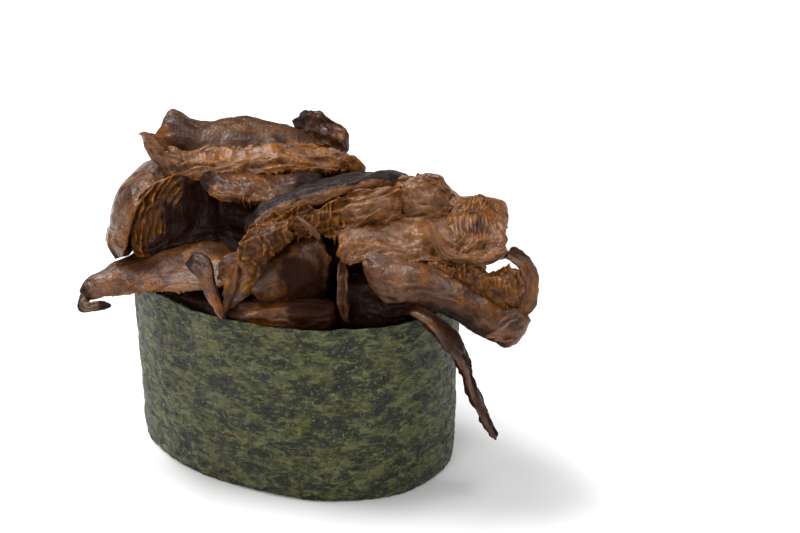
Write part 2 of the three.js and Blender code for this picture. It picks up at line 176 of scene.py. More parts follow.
def through(stations: Array, places: Array) -> Array:
    """Runs a smooth curve through stations.

    Args:
        stations: The values at evenly spaced places, one row each.
        places: Where to read the curve, from 0 to 1.

    Returns:
        One row of values for each place.
    """
    count = len(stations)
    ends = (2 * stations[0] - stations[1], 2 * stations[-1] - stations[-2])
    padded = np.vstack([ends[0], stations, ends[1]])
    place = np.clip(places, 0.0, 1.0) * (count - 1)
    first = np.minimum(place.astype(int), count - 2)
    t = (place - first)[:, None]
    a, b, c, d = (padded[first + k] for k in range(4))
    return 0.5 * (2 * b + (c - a) * t + (2 * a - 5 * b + 4 * c - d) * t**2 + (3 * b - a - 3 * c + d) * t**3)


def turned(points: Array) -> Array:
    """Turns points of the heap's own frame into the part's frame.

    Args:
        points: Across, away and up, one row each.

    Returns:
        X, Y and Z, one row each.
    """
    cos, sin = math.cos(HEAP_TURN), math.sin(HEAP_TURN)
    across, away = points[:, 0], points[:, 1]
    return np.stack([across * cos - away * sin, across * sin + away * cos, points[:, 2]], axis=1)


def deselect() -> None:
    """Leaves nothing selected and nothing active."""
    bpy.ops.object.select_all(action="DESELECT")
    bpy.context.view_layer.objects.active = None


def mesh_points(mesh: bpy.types.Mesh) -> Array:
    """Reads a mesh's points.

    Args:
        mesh: The mesh.

    Returns:
        One row for each vertex.
    """
    flat = np.empty(3 * len(mesh.vertices))
    mesh.vertices.foreach_get("co", flat)
    return flat.reshape(-1, 3)


def set_points(mesh: bpy.types.Mesh, points: Array) -> None:
    """Moves a mesh's points, given in millimetres, and turns the mesh right side out.

    Args:
        mesh: The mesh.
        points: One row for each vertex.
    """
    mesh.vertices.foreach_set("co", (points * SCALE).ravel())
    mesh.calc_loop_triangles()
    corners = np.empty(3 * len(mesh.loop_triangles), dtype=np.int32)
    mesh.loop_triangles.foreach_get("vertices", corners)
    a, b, c = (points[corners[k::3]] for k in range(3))
    if np.einsum("ij,ij->i", a, np.cross(b, c)).sum() < 0:
        mesh.flip_normals()
    mesh.update()


def add_values(mesh: bpy.types.Mesh, name: str, values: Array) -> None:
    """Stores one number on each vertex.

    Args:
        mesh: The mesh.
        name: The attribute's name.
        values: One number for each vertex.
    """
    mesh.attributes.new(name, "FLOAT", "POINT").data.foreach_set("value", values.astype(np.float32))


def powered(value: Array, power: float) -> Array:
    """Raises to a power and keeps the sign."""
    return np.sign(value) * np.abs(value) ** power


def joined(piece: Piece, others: list[Piece]) -> Piece:
    """Joins other objects into a piece.

    Args:
        piece: The piece that takes them in.
        others: The objects.

    Returns:
        The piece.
    """
    deselect()
    for part in (*others, piece):
        part.select_set(True)
    bpy.context.view_layer.objects.active = piece
    bpy.ops.object.join()
    return piece


def hang(piece: Piece, node: str, finish: bpy.types.Material) -> None:
    """Gives a piece its finish and its place on the frame.

    Args:
        piece: The piece.
        node: The plain solid that it stands for.
        finish: The finish.
    """
    piece.data.materials.clear()
    piece.data.materials.append(finish)
    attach(piece, BODY)
    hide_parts(node)
    LOG.info("%s: %d faces", node, len(piece.data.polygons))


def drawn_ball(name: str, sides: int, rings: int, levels: int = 3) -> tuple[Piece, Array, Array]:
    """Adds a closed ball, divides it finely and reads where each of its points lies.

    Args:
        name: The piece's name.
        sides: How many points go round it before it is divided.
        rings: How many steps go from pole to pole before it is divided.
        levels: How many times every face is divided in four.

    Returns:
        The ball, each point's place from pole to pole (0 to 1) and its angle round the axis.
    """
    deselect()
    bpy.ops.mesh.primitive_uv_sphere_add(segments=sides, ring_count=rings, radius=1.0)
    ball = bpy.context.object
    ball.name = name
    ball.data.name = name
    bpy.ops.object.shade_smooth()
    bpy.ops.object.modifier_add(type="SUBSURF")
    divided = ball.modifiers[-1]
    divided.subdivision_type = "SIMPLE"
    divided.levels = divided.render_levels = levels
    bpy.ops.object.modifier_apply(modifier=divided.name)
    points = unit(mesh_points(ball.data))
    places = np.arccos(np.clip(points[:, 2], -1.0, 1.0)) / math.pi
    return ball, places, np.arctan2(points[:, 1], points[:, 0])


@dataclass(frozen=True)
class Leaf:
    """A bent leaf between two edges, with what its surface shows on each side.

    Each row is across, away and up of the far edge, then of the near edge. A patch is a zone, its start and
    end along the leaf (0 to 1), and its start and end round the section in degrees: 0 is the far edge, 90 the
    face above, 180 the near edge and 270 the face below. A later patch lies over an earlier one.

    The middle stands proud of the edges by bulge, and curl lifts the far and the near edge. Wave, fold,
    ragged, torn and wrinkle are the strength of the soft waves, the long sharp folds, the uneven edges, the
    torn ends and the fine creases, and taper is how much thinner the edges are. Gills stand pitch apart and
    depth high. They run across the leaf, slanted by lean, or circle a hub. Tear breaks them up, and gaps
    sets the painted shade in what lies between them. Grooves are counted round the section, and painted shade
    fills them and the creases. Shade darkens the whole leaf, partly as its own darker braise and partly as
    painted shade, and edge_glow lights its thin edges. Each constant that ends in SEAT is where in the noise
    a trait is read.
    """

    rows: tuple[Row, ...]
    thick: float
    bulge: float
    base: Zone = FACE
    patches: tuple[Patch, ...] = ()
    rings: int = 24
    sides: int = 11
    wave: float = 0.5
    fold: float = 0.45
    fold_size: tuple[float, float] = (7.0, 2.4)
    ragged: float = 0.45
    torn: float = 0.8
    taper: float = 0.35
    curl: tuple[float, float] = (0.0, 0.0)
    wrinkle: float = 0.08
    pitch: float = 0.9
    depth: float = 0.9
    lean: float = 0.0
    hub: tuple[float, float] | None = None
    grooves: int = 0
    shade: float = 0.0
    tear: float = 1.0
    gap_shade: float = 1.0
    edge_glow: float = 0.5

    SQUARENESS = 3.0
    END_ROUND = 1.6
    END_THIN = 0.55
    END_REACH = 4.0
    LEAST_HALF = 0.4
    LEAST_RADIUS = 0.2
    WAVE_SIZE = 6.5
    RAG_SIZE = 4.0
    LUMP = 0.25
    LUMP_SIZE = 4.0
    TORN_SIZE = 2.0
    BORDER_SIZE = 2.4
    EDGE_BLUR = 11.0
    END_BLUR = 0.05
    EDGE_SWAY = 15.0
    END_SWAY = 0.06
    CREASE_LONG = 3.2
    CREASE_WIDE = 0.55
    CREASE_SHARP = 2.4
    CREASE_LEVEL = 0.8
    PUCKER_SIZE = 1.3
    # Painted shade in the creases: how dark, and how deep a crease must be to be fully dark.
    CREASE_SHADE = 0.55
    CREASE_REACH = 1.4
    SKIN_SMOOTH = 0.5
    GROOVE_DEPTH = 0.16
    GROOVE_SWAY = 1.6
    GROOVE_RATE = 0.45
    # Painted shade in the grooves.
    GROOVE_SHADE = 0.5
    GLOW_SIZE = 3.5
    SHADE_SIZE = 4.0
    GILL_LEVEL = 0.45
    # Painted shade between the gills, lessened on their crests.
    GAP_SHADE_LEVEL = 0.95
    CREST_LIGHT = 1.3
    RIDGE_WIDTH = 0.2
    GILL_SWAYS = ((1.5, 4.2), (0.75, 1.5))
    GILL_PLACE = (0.5, 0.22, 12.9898, 78.233)
    GILL_HEIGHT = (0.62, 0.38, 39.3467, 11.135)
    GILL_WIDTH = (1.0, 0.35, 24.61, 3.7)
    GILL_TORN_SIZE = 2.2
    GILL_SHIFT = 1.7
    TATTER = (1.2, 0.9, 0.28)
    TATTER_RANGE = (0.05, 1.25)
    FOLD_SWAY = (1.2, 5.0)
    FOLD_RISE = 9.0
    FOLD_LEVEL = 0.7
    FOLD_SHARP = 1.6
    GLOW = (0.6, 0.8)
    SHADE_SPREAD = 0.4
    RAG_SEAT = 3.0
    CREASE_SEAT = 5.0
    GLOW_SEAT = 7.0
    FOLD_SEAT = 17.0
    WAVE_SEAT = 31.0
    TORN_SEAT = 70.0
    GRAIN_ROUND = 3.0

    def section(self, places: Array) -> tuple[Array, ...]:
        """Reads the leaf's frame at places along it.

        Args:
            places: From 0 to 1 along the leaf.

        Returns:
            The centre, the directions along, across and out of the face above, the width, and the distance
            walked along the leaf, with the leaf's whole length.
        """
        rows = np.asarray(self.rows, dtype=float)
        far, near = turned(rows[:, :3]), turned(rows[:, 3:])
        stations = np.hstack([(far + near) / 2, far - near])
        read = through(stations, places)
        ahead, behind = (through(stations, np.clip(places + step, 0.0, 1.0))[:, :3] for step in (1e-3, -1e-3))
        along = unit(ahead - behind)
        across = unit(read[:, 3:])
        square = unit(across - along * np.sum(across * along, axis=1)[:, None])
        fine = np.linspace(0.0, 1.0, 240)
        steps = np.linalg.norm(np.diff(through(stations, fine)[:, :3], axis=0), axis=1)
        walks = np.concatenate([[0.0], np.cumsum(steps)])
        width = np.linalg.norm(read[:, 3:], axis=1)
        walked = np.interp(places, fine, walks)
        return read[:, :3], along, across, np.cross(along, square), width, walked, walks[-1]

    def shares(self, places: Array, angles: Array, spots: Array) -> dict[Zone, Array]:
        """Shares the surface out among the zones.

        Args:
            places: From 0 to 1 along the leaf.
            angles: Angles round the section, in degrees.
            spots: The points themselves, which make the borders uneven.

        Returns:
            For each zone, one weight for each point.
        """
        shares = {zone: np.full(len(places), 1.0 if zone is self.base else 0.0) for zone in Zone}
        sway = NOISE.layered(spots, self.BORDER_SIZE, 3)
        for kind, start, end, low, high in self.patches:
            place = places + self.END_SWAY * sway
            begun = ease(start - self.END_BLUR, start + self.END_BLUR, place)
            ended = ease(end - self.END_BLUR, end + self.END_BLUR, place)
            along = np.where(start <= 0.0, 1.0, begun) * np.where(end >= 1.0, 1.0, 1.0 - ended)
            middle, half = (low + high) / 2, (high - low) / 2
            off = np.abs((angles + self.EDGE_SWAY * sway - middle + 180.0) % 360.0 - 180.0)
            passed = ease(half - self.EDGE_BLUR, half + self.EDGE_BLUR, off)
            cover = along * np.where(half >= 180.0, 1.0, 1.0 - passed)
            for zone in Zone:
                shares[zone] = shares[zone] * (1.0 - cover) + (cover if zone is kind else 0.0)
        return shares

    def shape(
        self, places: Array, angles: Array
    ) -> tuple[Array, Array, dict[str, Array]]:
        """Draws a ball's points out along the leaf.

        Args:
            places: From 0 to 1 along the leaf.
            angles: Angles round the section, in radians.

        Returns:
            The points, the distance walked to each, and the values that the finish reads.
        """
        t = 0.5 * (places + 0.5 * (1.0 - np.cos(math.pi * places)))
        centre, along, across, out, width, walked, total = self.section(t)
        from_end = np.minimum(walked, total - walked)
        closing = np.minimum(from_end / min(self.END_ROUND, total / 3.0), 1.0)
        full = np.sqrt(np.clip(1.0 - (1.0 - closing) ** 2, 0.0, 1.0))
        c, s = (powered(part, 2.0 / self.SQUARENESS) for part in (np.cos(angles), np.sin(angles)))
        half_width = np.maximum(width / 2.0, self.LEAST_HALF) * full
        rough = centre + across * (c * half_width)[:, None]
        rim = np.abs(c) ** 3
        rag = NOISE.layered(rough + self.RAG_SEAT * np.sign(c)[:, None], self.RAG_SIZE, 4)
        half_width = half_width + self.ragged * rag * rim * full
        reach = c * half_width
        thinned = self.END_THIN + (1.0 - self.END_THIN) * ease(0.0, self.END_REACH, from_end)
        half_thick = self.thick / 2.0 * full * thinned * (1.0 - self.taper * rim)
        half_thick = half_thick * (1.0 + self.LUMP * NOISE.smooth(rough, self.LUMP_SIZE))
        lift = self.bulge * (1.0 - c * c)
        lift = lift + self.curl[0] * np.maximum(c, 0.0) ** 3 + self.curl[1] * np.maximum(-c, 0.0) ** 3
        lift = lift + self.wave * NOISE.layered(rough + self.WAVE_SEAT, self.WAVE_SIZE, 2) * full
        lift = lift + self.fold * self.folds(walked, reach, rough) * full
        points = centre + across * reach[:, None] + out * (s * half_thick + lift)[:, None]
        tatters = self.torn * NOISE.layered(rough + self.TORN_SEAT, self.TORN_SIZE, 2)
        points = points + along * (np.sign(walked - total / 2.0) * (1.0 - full) * tatters)[:, None]
        normal = unit(
            across * (c * np.abs(c) / np.maximum(half_width, self.LEAST_RADIUS))[:, None]
            + out * (s * np.abs(s) / np.maximum(half_thick, self.LEAST_RADIUS))[:, None]
        )
        shares = self.shares(t, np.degrees(angles), points)
        comb = self.comb(self.gill_line(walked, reach), points)
        gilled = shares[GILL] * full
        groove = self.groove(angles, walked) * full
        push = gilled * self.depth * (comb - self.GILL_LEVEL) - self.GROOVE_DEPTH * groove
        points = points + normal * push[:, None]
        lines = np.stack([walked / self.CREASE_LONG, reach / self.CREASE_WIDE,
                          self.CREASE_SEAT + s * half_thick / self.CREASE_WIDE], axis=1)
        streaks = self.CREASE_SHARP * np.abs(NOISE.layered(lines, 1.0, 3))
        crease = self.CREASE_LEVEL - streaks + NOISE.layered(points, self.PUCKER_SIZE, 3)
        depth = self.wrinkle * (1.0 - self.SKIN_SMOOTH * shares[SKIN])
        points = points + normal * (depth * crease * full)[:, None]
        values = {zone.value: shares[zone] for zone in TINTS}
        lit = self.GLOW[0] + self.GLOW[1] * NOISE.layered(points + self.GLOW_SEAT, self.GLOW_SIZE, 2)
        thin = self.edge_glow * np.abs(c) ** 5 * lit
        values[AMBER.value] = np.clip(shares[AMBER] + gilled + thin * shares[FACE], 0.0, 1.0)
        # Painted shade: the gaps between the gills, the creases and the grooves are darkened, the gill crests
        # less so.
        recess_shade = self.gap_shade * gilled * (self.GAP_SHADE_LEVEL - self.CREST_LIGHT * comb)
        recess_shade = recess_shade + self.CREASE_SHADE * ease(0.0, self.CREASE_REACH, -crease) + self.GROOVE_SHADE * groove
        # The leaf's shade: partly its own darker braise, partly painted shade.
        gloom = self.shade * (1.0 + self.SHADE_SPREAD * NOISE.layered(points, self.SHADE_SIZE, 2))
        values[PAINTED_SHADE_AND_TONE] = np.clip(recess_shade + gloom, 0.0, 1.0)
        return points, walked, values

    def groove(self, angles: Array, walked: Array) -> Array:
        """Runs grooves along the leaf, which sway as they go.

        Args:
            angles: Angles round the section, in radians.
            walked: Millimetres along the leaf.

        Returns:
            1 in a groove and -1 between two, or 0 on a leaf that has none.
        """
        if not self.grooves:
            return np.zeros(len(angles))
        return np.cos(self.grooves * angles + self.GROOVE_SWAY * np.sin(walked * self.GROOVE_RATE))

    def folds(self, walked: Array, reach: Array, spots: Array) -> Array:
        """Raises long sharp folds that run along the leaf.

        Args:
            walked: Millimetres along the leaf.
            reach: Millimetres across it.
            spots: The points themselves, which make the folds sway.

        Returns:
            1 on a fold's crest, less beside it.
        """
        amount, size = self.FOLD_SWAY
        sway = amount * NOISE.smooth(spots + self.FOLD_SEAT, size)
        long, wide = self.fold_size
        sheet = np.stack([walked / long, (reach + sway) / wide, spots[:, 2] / self.FOLD_RISE], axis=1)
        return self.FOLD_LEVEL - self.FOLD_SHARP * np.abs(NOISE.layered(sheet + len(self.rows), 1.0, 2))

    def gill_line(self, walked: Array, reach: Array) -> Array:
        """Measures across the gills: along the leaf, or outwards from the hub that they circle.

        Args:
            walked: Millimetres along the leaf.
            reach: Millimetres across it.

        Returns:
            Millimetres at right angles to the gills.
        """
        if self.hub is None:
            return walked + self.lean * reach
        return np.hypot(walked - self.hub[0], reach - self.hub[1])

    def comb(self, line: Array, points: Array) -> Array:
        """Raises the gills, some tall, some low and some torn away.

        Args:
            line: Millimetres at right angles to the gills.
            points: The points themselves, which make the gills sway.

        Returns:
            1 on a gill's crest and 0 in the gap beside it.
        """
        sway = sum(amount * NOISE.smooth(points, size) for amount, size in self.GILL_SWAYS)
        phase = line / self.pitch + self.tear * sway
        number = np.floor(phase)
        place, height, width = (
            base + spread * np.sin(rate * number + shift)
            for base, spread, rate, shift in (self.GILL_PLACE, self.GILL_HEIGHT, self.GILL_WIDTH)
        )
        spread, whole, loss = self.TATTER
        tatters = NOISE.layered(points + self.GILL_SHIFT * number[:, None], self.GILL_TORN_SIZE, 3)
        torn = np.clip(whole - loss * self.tear + spread * self.tear * tatters, *self.TATTER_RANGE)
        return height * torn * np.exp(-(((phase - number - place) / (self.RIDGE_WIDTH * width)) ** 2) / 2.0)

    def build(self, name: str) -> Piece:
        """Makes the leaf.

        Args:
            name: The piece's name.

        Returns:
            The closed leaf.
        """
        ball, places, angles = drawn_ball(name, self.sides, self.rings)
        points, walked, values = self.shape(places, angles)
        set_points(ball.data, points)
        for key, numbers in values.items():
            add_values(ball.data, key, numbers)
        grain = np.stack([walked, angles * self.GRAIN_ROUND], axis=1) * SCALE
        loops = np.empty(len(ball.data.loops), dtype=np.int32)
        ball.data.loops.foreach_get("vertex_index", loops)
        ball.data.uv_layers[0].data.foreach_set("uv", grain[loops].ravel())
        return ball


@dataclass(frozen=True)
class Pattern:
    """Noise on a surface.

    Scale is its bumps to the metre, detail how many finer layers it has, swirl how far it is pulled about,
    and grit how strong each finer layer is beside the one before.
    """

    scale: float
    detail: float
    swirl: float = 0.0
    grit: float = 0.5


@dataclass(frozen=True)
class Wash:
    """A colour laid over a tone: none of it where the named pattern is at low, its whole share at high."""

    colour: Colour
    pattern: str
    low: float
    high: float
    share: float = 1.0


class NodeBoard:
    """A material's nodes, laid out by short calls, with the patterns that it has by name."""

    MIDDLE = (0.3, 0.7)

    def __init__(self, name: str) -> None:
        """Starts a material with one principled shader.

        Args:
            name: The material's name.
        """
        self.material = bpy.data.materials.new(name)
        self.material.use_nodes = True
        self.tree = self.material.node_tree
        self.patterns: dict[str, Socket] = {}

    def feed(self, source: object, target: Socket) -> None:
        """Gives an input a link, a colour, a triple or a number.

        Args:
            source: A socket, three numbers or one.
            target: The input.
        """
        if isinstance(source, Socket):
            self.tree.links.new(source, target)
        elif isinstance(source, tuple) and len(source) < len(target.default_value):
            target.default_value = (*source, 1.0)
        else:
            target.default_value = source

    def node(self, kind: str, feeds: dict, output: str | int, **settings: str) -> Socket:
        """Adds a node.

        Args:
            kind: Its kind.
            feeds: What goes into its inputs, by name or number.
            output: The output that is wanted, by name or number.
            settings: Its own settings.

        Returns:
            The output.
        """
        node = self.tree.nodes.new("ShaderNode" + kind)
        for name, value in settings.items():
            setattr(node, name, value)
        for key, source in feeds.items():
            self.feed(source, node.inputs[key])
        return node.outputs[output]

    def finished(self, feeds: dict[str, object]) -> bpy.types.Material:
        """Feeds the shader.

        Args:
            feeds: What goes into its inputs, by name.

        Returns:
            The material.
        """
        shader = self.tree.nodes["Principled BSDF"]
        for name, source in feeds.items():
            self.feed(source, shader.inputs[name])
        return self.material

    def coordinates(self, kind: str) -> Socket:
        """A place on the piece: "Object" is in metres, and "UV" is on its grain map."""
        return self.node("TexCoord", {}, kind)

    def value(self, name: str) -> Socket:
        """A number that the mesh carries, by its name."""
        return self.node("Attribute", {}, "Fac", attribute_name=name)

    def stretched(self, spots: Socket, scale: Triple) -> Socket:
        """Scales a place by its own amount on each axis."""
        return self.node("Mapping", {"Vector": spots, "Scale": scale}, "Vector")

    def noise(self, name: str, spots: Socket, made: Pattern) -> Socket:
        """Adds a pattern from 0 to 1 and keeps it by its name.

        Args:
            name: The pattern's name.
            spots: Where it is read.
            made: How it is made.

        Returns:
            The pattern.
        """
        feeds = {"Vector": spots, "Scale": made.scale, "Detail": made.detail}
        feeds |= {"Roughness": made.grit, "Distortion": made.swirl}
        self.patterns[name] = self.node("TexNoise", feeds, "Fac")
        return self.patterns[name]

    def ranged(self, source: Socket, low: float, high: float) -> Socket:
        """Spreads the middle of a pattern from low to high.

        Args:
            source: A pattern from 0 to 1.
            low: The least result.
            high: The greatest result.

        Returns:
            The spread number.
        """
        start, end = self.MIDDLE
        feeds = {"Value": source, "From Min": start, "From Max": end, "To Min": low, "To Max": high}
        return self.node("MapRange", feeds, "Result")

    def steep(self, source: Socket, low: float, high: float) -> Socket:
        """Steepens a pattern so that it runs from 0 at low to 1 at high."""
        feeds = {"Value": source, "From Min": low, "From Max": high}
        return self.node("MapRange", feeds, "Result", interpolation_type="SMOOTHSTEP")

    def maths(self, kind: str, first: Socket | float, second: Socket | float) -> Socket:
        """Works out one sum of sockets or numbers."""
        return self.node("Math", {0: first, 1: second}, 0, operation=kind)

    def stacked(self, *layers: tuple[Socket, float]) -> Socket:
        """Adds patterns up.

        Args:
            layers: Each pattern and what it is multiplied by.

        Returns:
            Their sum.
        """
        parts = [self.maths("MULTIPLY", source, amount) for source, amount in layers]
        total = parts[0]
        for part in parts[1:]:
            total = self.maths("ADD", total, part)
        return total

    def mix(self, share: Socket, first: object, second: object) -> Socket:
        """Mixes a second colour or socket into the first, by its share."""
        return self.node("Mix", {0: share, 6: first, 7: second}, 2, data_type="RGBA")

    def washed(self, tone: object, washes: tuple[Wash, ...]) -> Socket:
        """Lays washes over a tone.

        Args:
            tone: The colour or socket beneath.
            washes: The washes, the lowest first.

        Returns:
            The washed tone.
        """
        for wash in washes:
            share = self.steep(self.patterns[wash.pattern], wash.low, wash.high)
            if wash.share < 1.0:
                share = self.maths("MULTIPLY", share, wash.share)
            tone = self.mix(share, tone, wash.colour)
        return tone

    def bump(self, height: Socket, strength: float, distance: float) -> Socket:
        """Bends the normal by a height: a height of 1 stands for so many metres."""
        return self.node("Bump", {"Height": height, "Strength": strength, "Distance": distance}, "Normal")


class Dye:
    """The linear colours of braised mushroom."""

    FACE = (0.150, 0.062, 0.026)
    FACE_DEEP = (0.046, 0.014, 0.005)
    GLOW = (0.29, 0.094, 0.007)
    SKIN = (0.010, 0.007, 0.007)
    SKIN_PALE = (0.036, 0.026, 0.023)
    FLESH = (0.245, 0.096, 0.024)
    FLESH_DEEP = (0.105, 0.035, 0.008)
    AMBER = (0.285, 0.098, 0.006)
    AMBER_DEEP = (0.060, 0.014, 0.002)
    DARK = (0.016, 0.005, 0.003)
    # The dark brown that painted shade and each leaf's darker tone mix in.
    PAINTED_SHADE_AND_TONE = (0.026, 0.008, 0.002)


@dataclass(frozen=True)
class BraisedFinish:
    """Braised, glazed mushroom: each zone's tone, how wet it is and how much light it lets through."""

    name: str = "braised_mushroom"
    broad: Pattern = Pattern(190.0, 4.0)
    patches: Pattern = Pattern(330.0, 5.0, 0.6)
    middle: Pattern = Pattern(800.0, 8.0, 0.3, 0.62)
    fine: Pattern = Pattern(2600.0, 4.0)
    streaks: Pattern = Pattern(1.0, 6.0, 0.3, 0.62)
    streak_scale: Triple = (240.0, 1500.0, 1.0)
    mottle: tuple[float, float] = (0.6, 0.4)
    relief: Triple = (0.7, 0.5, 0.5)
    face: tuple[Wash, ...] = (
        Wash(Dye.FACE, "broad", 0.32, 0.66), Wash(Dye.GLOW, "patches", 0.5, 0.68, 0.75),
        Wash(Dye.FACE_DEEP, "mottle", 0.44, 0.6, 0.6),
    )
    flesh: tuple[Wash, ...] = (
        Wash(Dye.FLESH, "mottle", 0.38, 0.6), Wash(Dye.FACE, "patches", 0.48, 0.7, 0.5),
    )
    amber: tuple[Wash, ...] = (
        Wash(Dye.AMBER, "mottle", 0.38, 0.6), Wash(Dye.FLESH, "broad", 0.5, 0.68, 0.5),
    )
    skin: tuple[Wash, ...] = (Wash(Dye.SKIN_PALE, "mottle", 0.42, 0.64),)
    # How far painted shade and darker tone pull the colour to the dark brown.
    painted_shade_and_tone_share: float = 0.8
    rough_low: float = 0.2
    rough_high: float = 0.5
    coat: float = 0.7
    coat_rough: float = 0.16
    dry: float = 0.75
    shine: float = 0.05
    scatter: float = 0.1
    scatter_reach: Triple = (1.0, 0.36, 0.14)
    scatter_depth: float = 0.0012
    bump: float = 0.75
    coat_bump: float = 0.6
    bump_depth: float = 0.0004

    def tone(self, board: NodeBoard) -> Socket:
        """Mixes the zones' colours.

        Args:
            board: The board, with its patterns.

        Returns:
            The surface's colour.
        """
        tone = board.washed(Dye.FACE_DEEP, self.face)
        for zone, base, washes in (
            (FLESH, Dye.FLESH_DEEP, self.flesh),
            (AMBER, Dye.AMBER_DEEP, self.amber),
            (SKIN, Dye.SKIN, self.skin),
        ):
            tone = board.mix(board.value(zone.value), tone, board.washed(base, washes))
        tone = board.mix(board.value(DARK.value), tone, Dye.DARK)
        # Painted shade in creases, gill gaps and grooves, with each leaf's darker tone, mixes in the dark
        # brown.
        return board.mix(board.stacked((board.value(PAINTED_SHADE_AND_TONE), self.painted_shade_and_tone_share)), tone, Dye.PAINTED_SHADE_AND_TONE)

    def build(self) -> bpy.types.Material:
        """Makes the finish.

        Returns:
            The material.
        """
        board = NodeBoard(self.name)
        spots = board.coordinates("Object")
        board.noise("broad", spots, self.broad)
        board.noise("patches", spots, self.patches)
        middle = board.noise("middle", spots, self.middle)
        drawn = board.stretched(board.coordinates("UV"), self.streak_scale)
        streaks = board.noise("streaks", drawn, self.streaks)
        board.patterns["mottle"] = board.stacked(*zip((streaks, middle), self.mottle))
        fine = board.noise("fine", spots, self.fine)
        height = board.stacked(*zip((streaks, fine, middle), self.relief))
        black = board.maths("ADD", board.value(SKIN.value), board.value(DARK.value))
        gloom = board.stacked((board.maths("ADD", board.value(PAINTED_SHADE_AND_TONE), black), self.dry))
        return board.finished({
            "Base Color": self.tone(board),
            "Roughness": board.ranged(middle, self.rough_low, self.rough_high),
            "Specular IOR Level": self.shine,
            "Subsurface Weight": self.scatter,
            "Subsurface Radius": self.scatter_reach,
            "Subsurface Scale": self.scatter_depth,
            "Coat Weight": board.stacked((board.maths("SUBTRACT", 1.0, gloom), self.coat)),
            "Coat Roughness": self.coat_rough,
            "Normal": board.bump(height, self.bump, self.bump_depth),
            "Coat Normal": board.bump(height, self.coat_bump, self.bump_depth),
        })


@dataclass(frozen=True)
class NoriFinish:
    """Pressed seaweed: a mottled olive sheet with blue-black blotches, pale flecks and crossing fibres."""

    name: str = "nori_sheet"
    green: Colour = (0.040, 0.064, 0.028)
    olive: Colour = (0.138, 0.132, 0.030)
    rust: Colour = (0.10, 0.060, 0.022)
    blotch: Colour = (0.008, 0.014, 0.009)
    pale: Colour = (0.26, 0.28, 0.10)
    fleck: Colour = (0.50, 0.47, 0.21)
    press: Triple = (1.0, 1.0, 2.0)
    broad: Pattern = Pattern(170.0, 4.0, 0.4)
    cloud: Pattern = Pattern(240.0, 8.0, 0.7, 0.55)
    mottle: Pattern = Pattern(620.0, 9.0, 0.8, 0.62)
    threads: Pattern = Pattern(520.0, 6.0, 1.2)
    grain: Pattern = Pattern(2300.0, 6.0, 0.5, 0.6)
    washes: tuple[Wash, ...] = (
        Wash(olive, "broad", 0.4, 0.6), Wash(rust, "broad", 0.55, 0.7, 0.4),
        Wash(blotch, "mottle", 0.5, 0.39, 0.9), Wash(pale, "mottle", 0.5, 0.62, 0.95),
        Wash(pale, "cloud", 0.47, 0.36, 0.4), Wash(blotch, "cloud", 0.5, 0.61, 0.88),
        Wash(pale, "fibres", 0.025, 0.0, 0.3), Wash(fleck, "grain", 0.58, 0.68, 0.8),
    )
    shine: float = 0.5
    rough_low: float = 0.34
    rough_high: float = 0.6
    ridge: float = 0.05
    relief: tuple[float, ...] = (1.3, 0.35, -1.2, 0.2)
    bump_depth: float = 0.0026

    def build(self) -> bpy.types.Material:
        """Makes the finish.

        Returns:
            The material.
        """
        board = NodeBoard(self.name)
        spots = board.coordinates("Object")
        flat = board.stretched(spots, self.press)
        board.noise("broad", flat, self.broad)
        cloud = board.noise("cloud", flat, self.cloud)
        mottle = board.noise("mottle", flat, self.mottle)
        grain = board.noise("grain", spots, self.grain)
        beside = board.maths("SUBTRACT", board.noise("threads", flat, self.threads), 0.5)
        fibres = board.patterns["fibres"] = board.maths("ABSOLUTE", beside, 0.0)
        ridges = board.steep(fibres, self.ridge, 0.0)
        height = board.stacked(*zip((mottle, grain, cloud, ridges), self.relief))
        return board.finished({
            "Base Color": board.washed(self.green, self.washes),
            "Roughness": board.ranged(mottle, self.rough_high, self.rough_low),
            "Specular IOR Level": self.shine,
            "Normal": board.bump(height, 1.0, self.bump_depth),
        })


@dataclass(frozen=True)
class RiceFinish:
    """Cooked, vinegared rice grains."""

    name: str = "sushi_rice"
    grain: Colour = (0.80, 0.76, 0.66)
    shade: Colour = (0.62, 0.57, 0.46)
    cloud: Pattern = Pattern(500.0, 3.0)
    scatter: float = 0.3
    scatter_reach: Triple = (1.0, 0.8, 0.6)
    scatter_depth: float = 0.0015
    rough_low: float = 0.3
    rough_high: float = 0.5

    def build(self) -> bpy.types.Material:
        """Makes the finish.

        Returns:
            The material.
        """
        board = NodeBoard(self.name)
        cloud = board.noise("cloud", board.coordinates("Object"), self.cloud)
        return board.finished({
            "Base Color": board.washed(self.shade, (Wash(self.grain, "cloud", 0.35, 0.65),)),
            "Roughness": board.ranged(cloud, self.rough_low, self.rough_high),
            "Subsurface Weight": self.scatter,
            "Subsurface Radius": self.scatter_reach,
            "Subsurface Scale": self.scatter_depth,
        })


@dataclass(frozen=True)
class Slice:
    """One braised slice: its main leaf and, on some, a curled end or a wall of gills."""

    name: str
    slot: str
    leaf: Leaf
    tail: Leaf | None = None

    def build(self, finish: bpy.types.Material) -> Piece:
        """Makes the slice and hangs it on the frame.

        Args:
            finish: The braised finish.

        Returns:
            The slice's one object.
        """
        piece = self.leaf.build(self.name + "_slice")
        if self.tail is not None:
            piece = joined(piece, [self.tail.build(self.name + "_tail")])
        hang(piece, self.name, finish)
        return piece


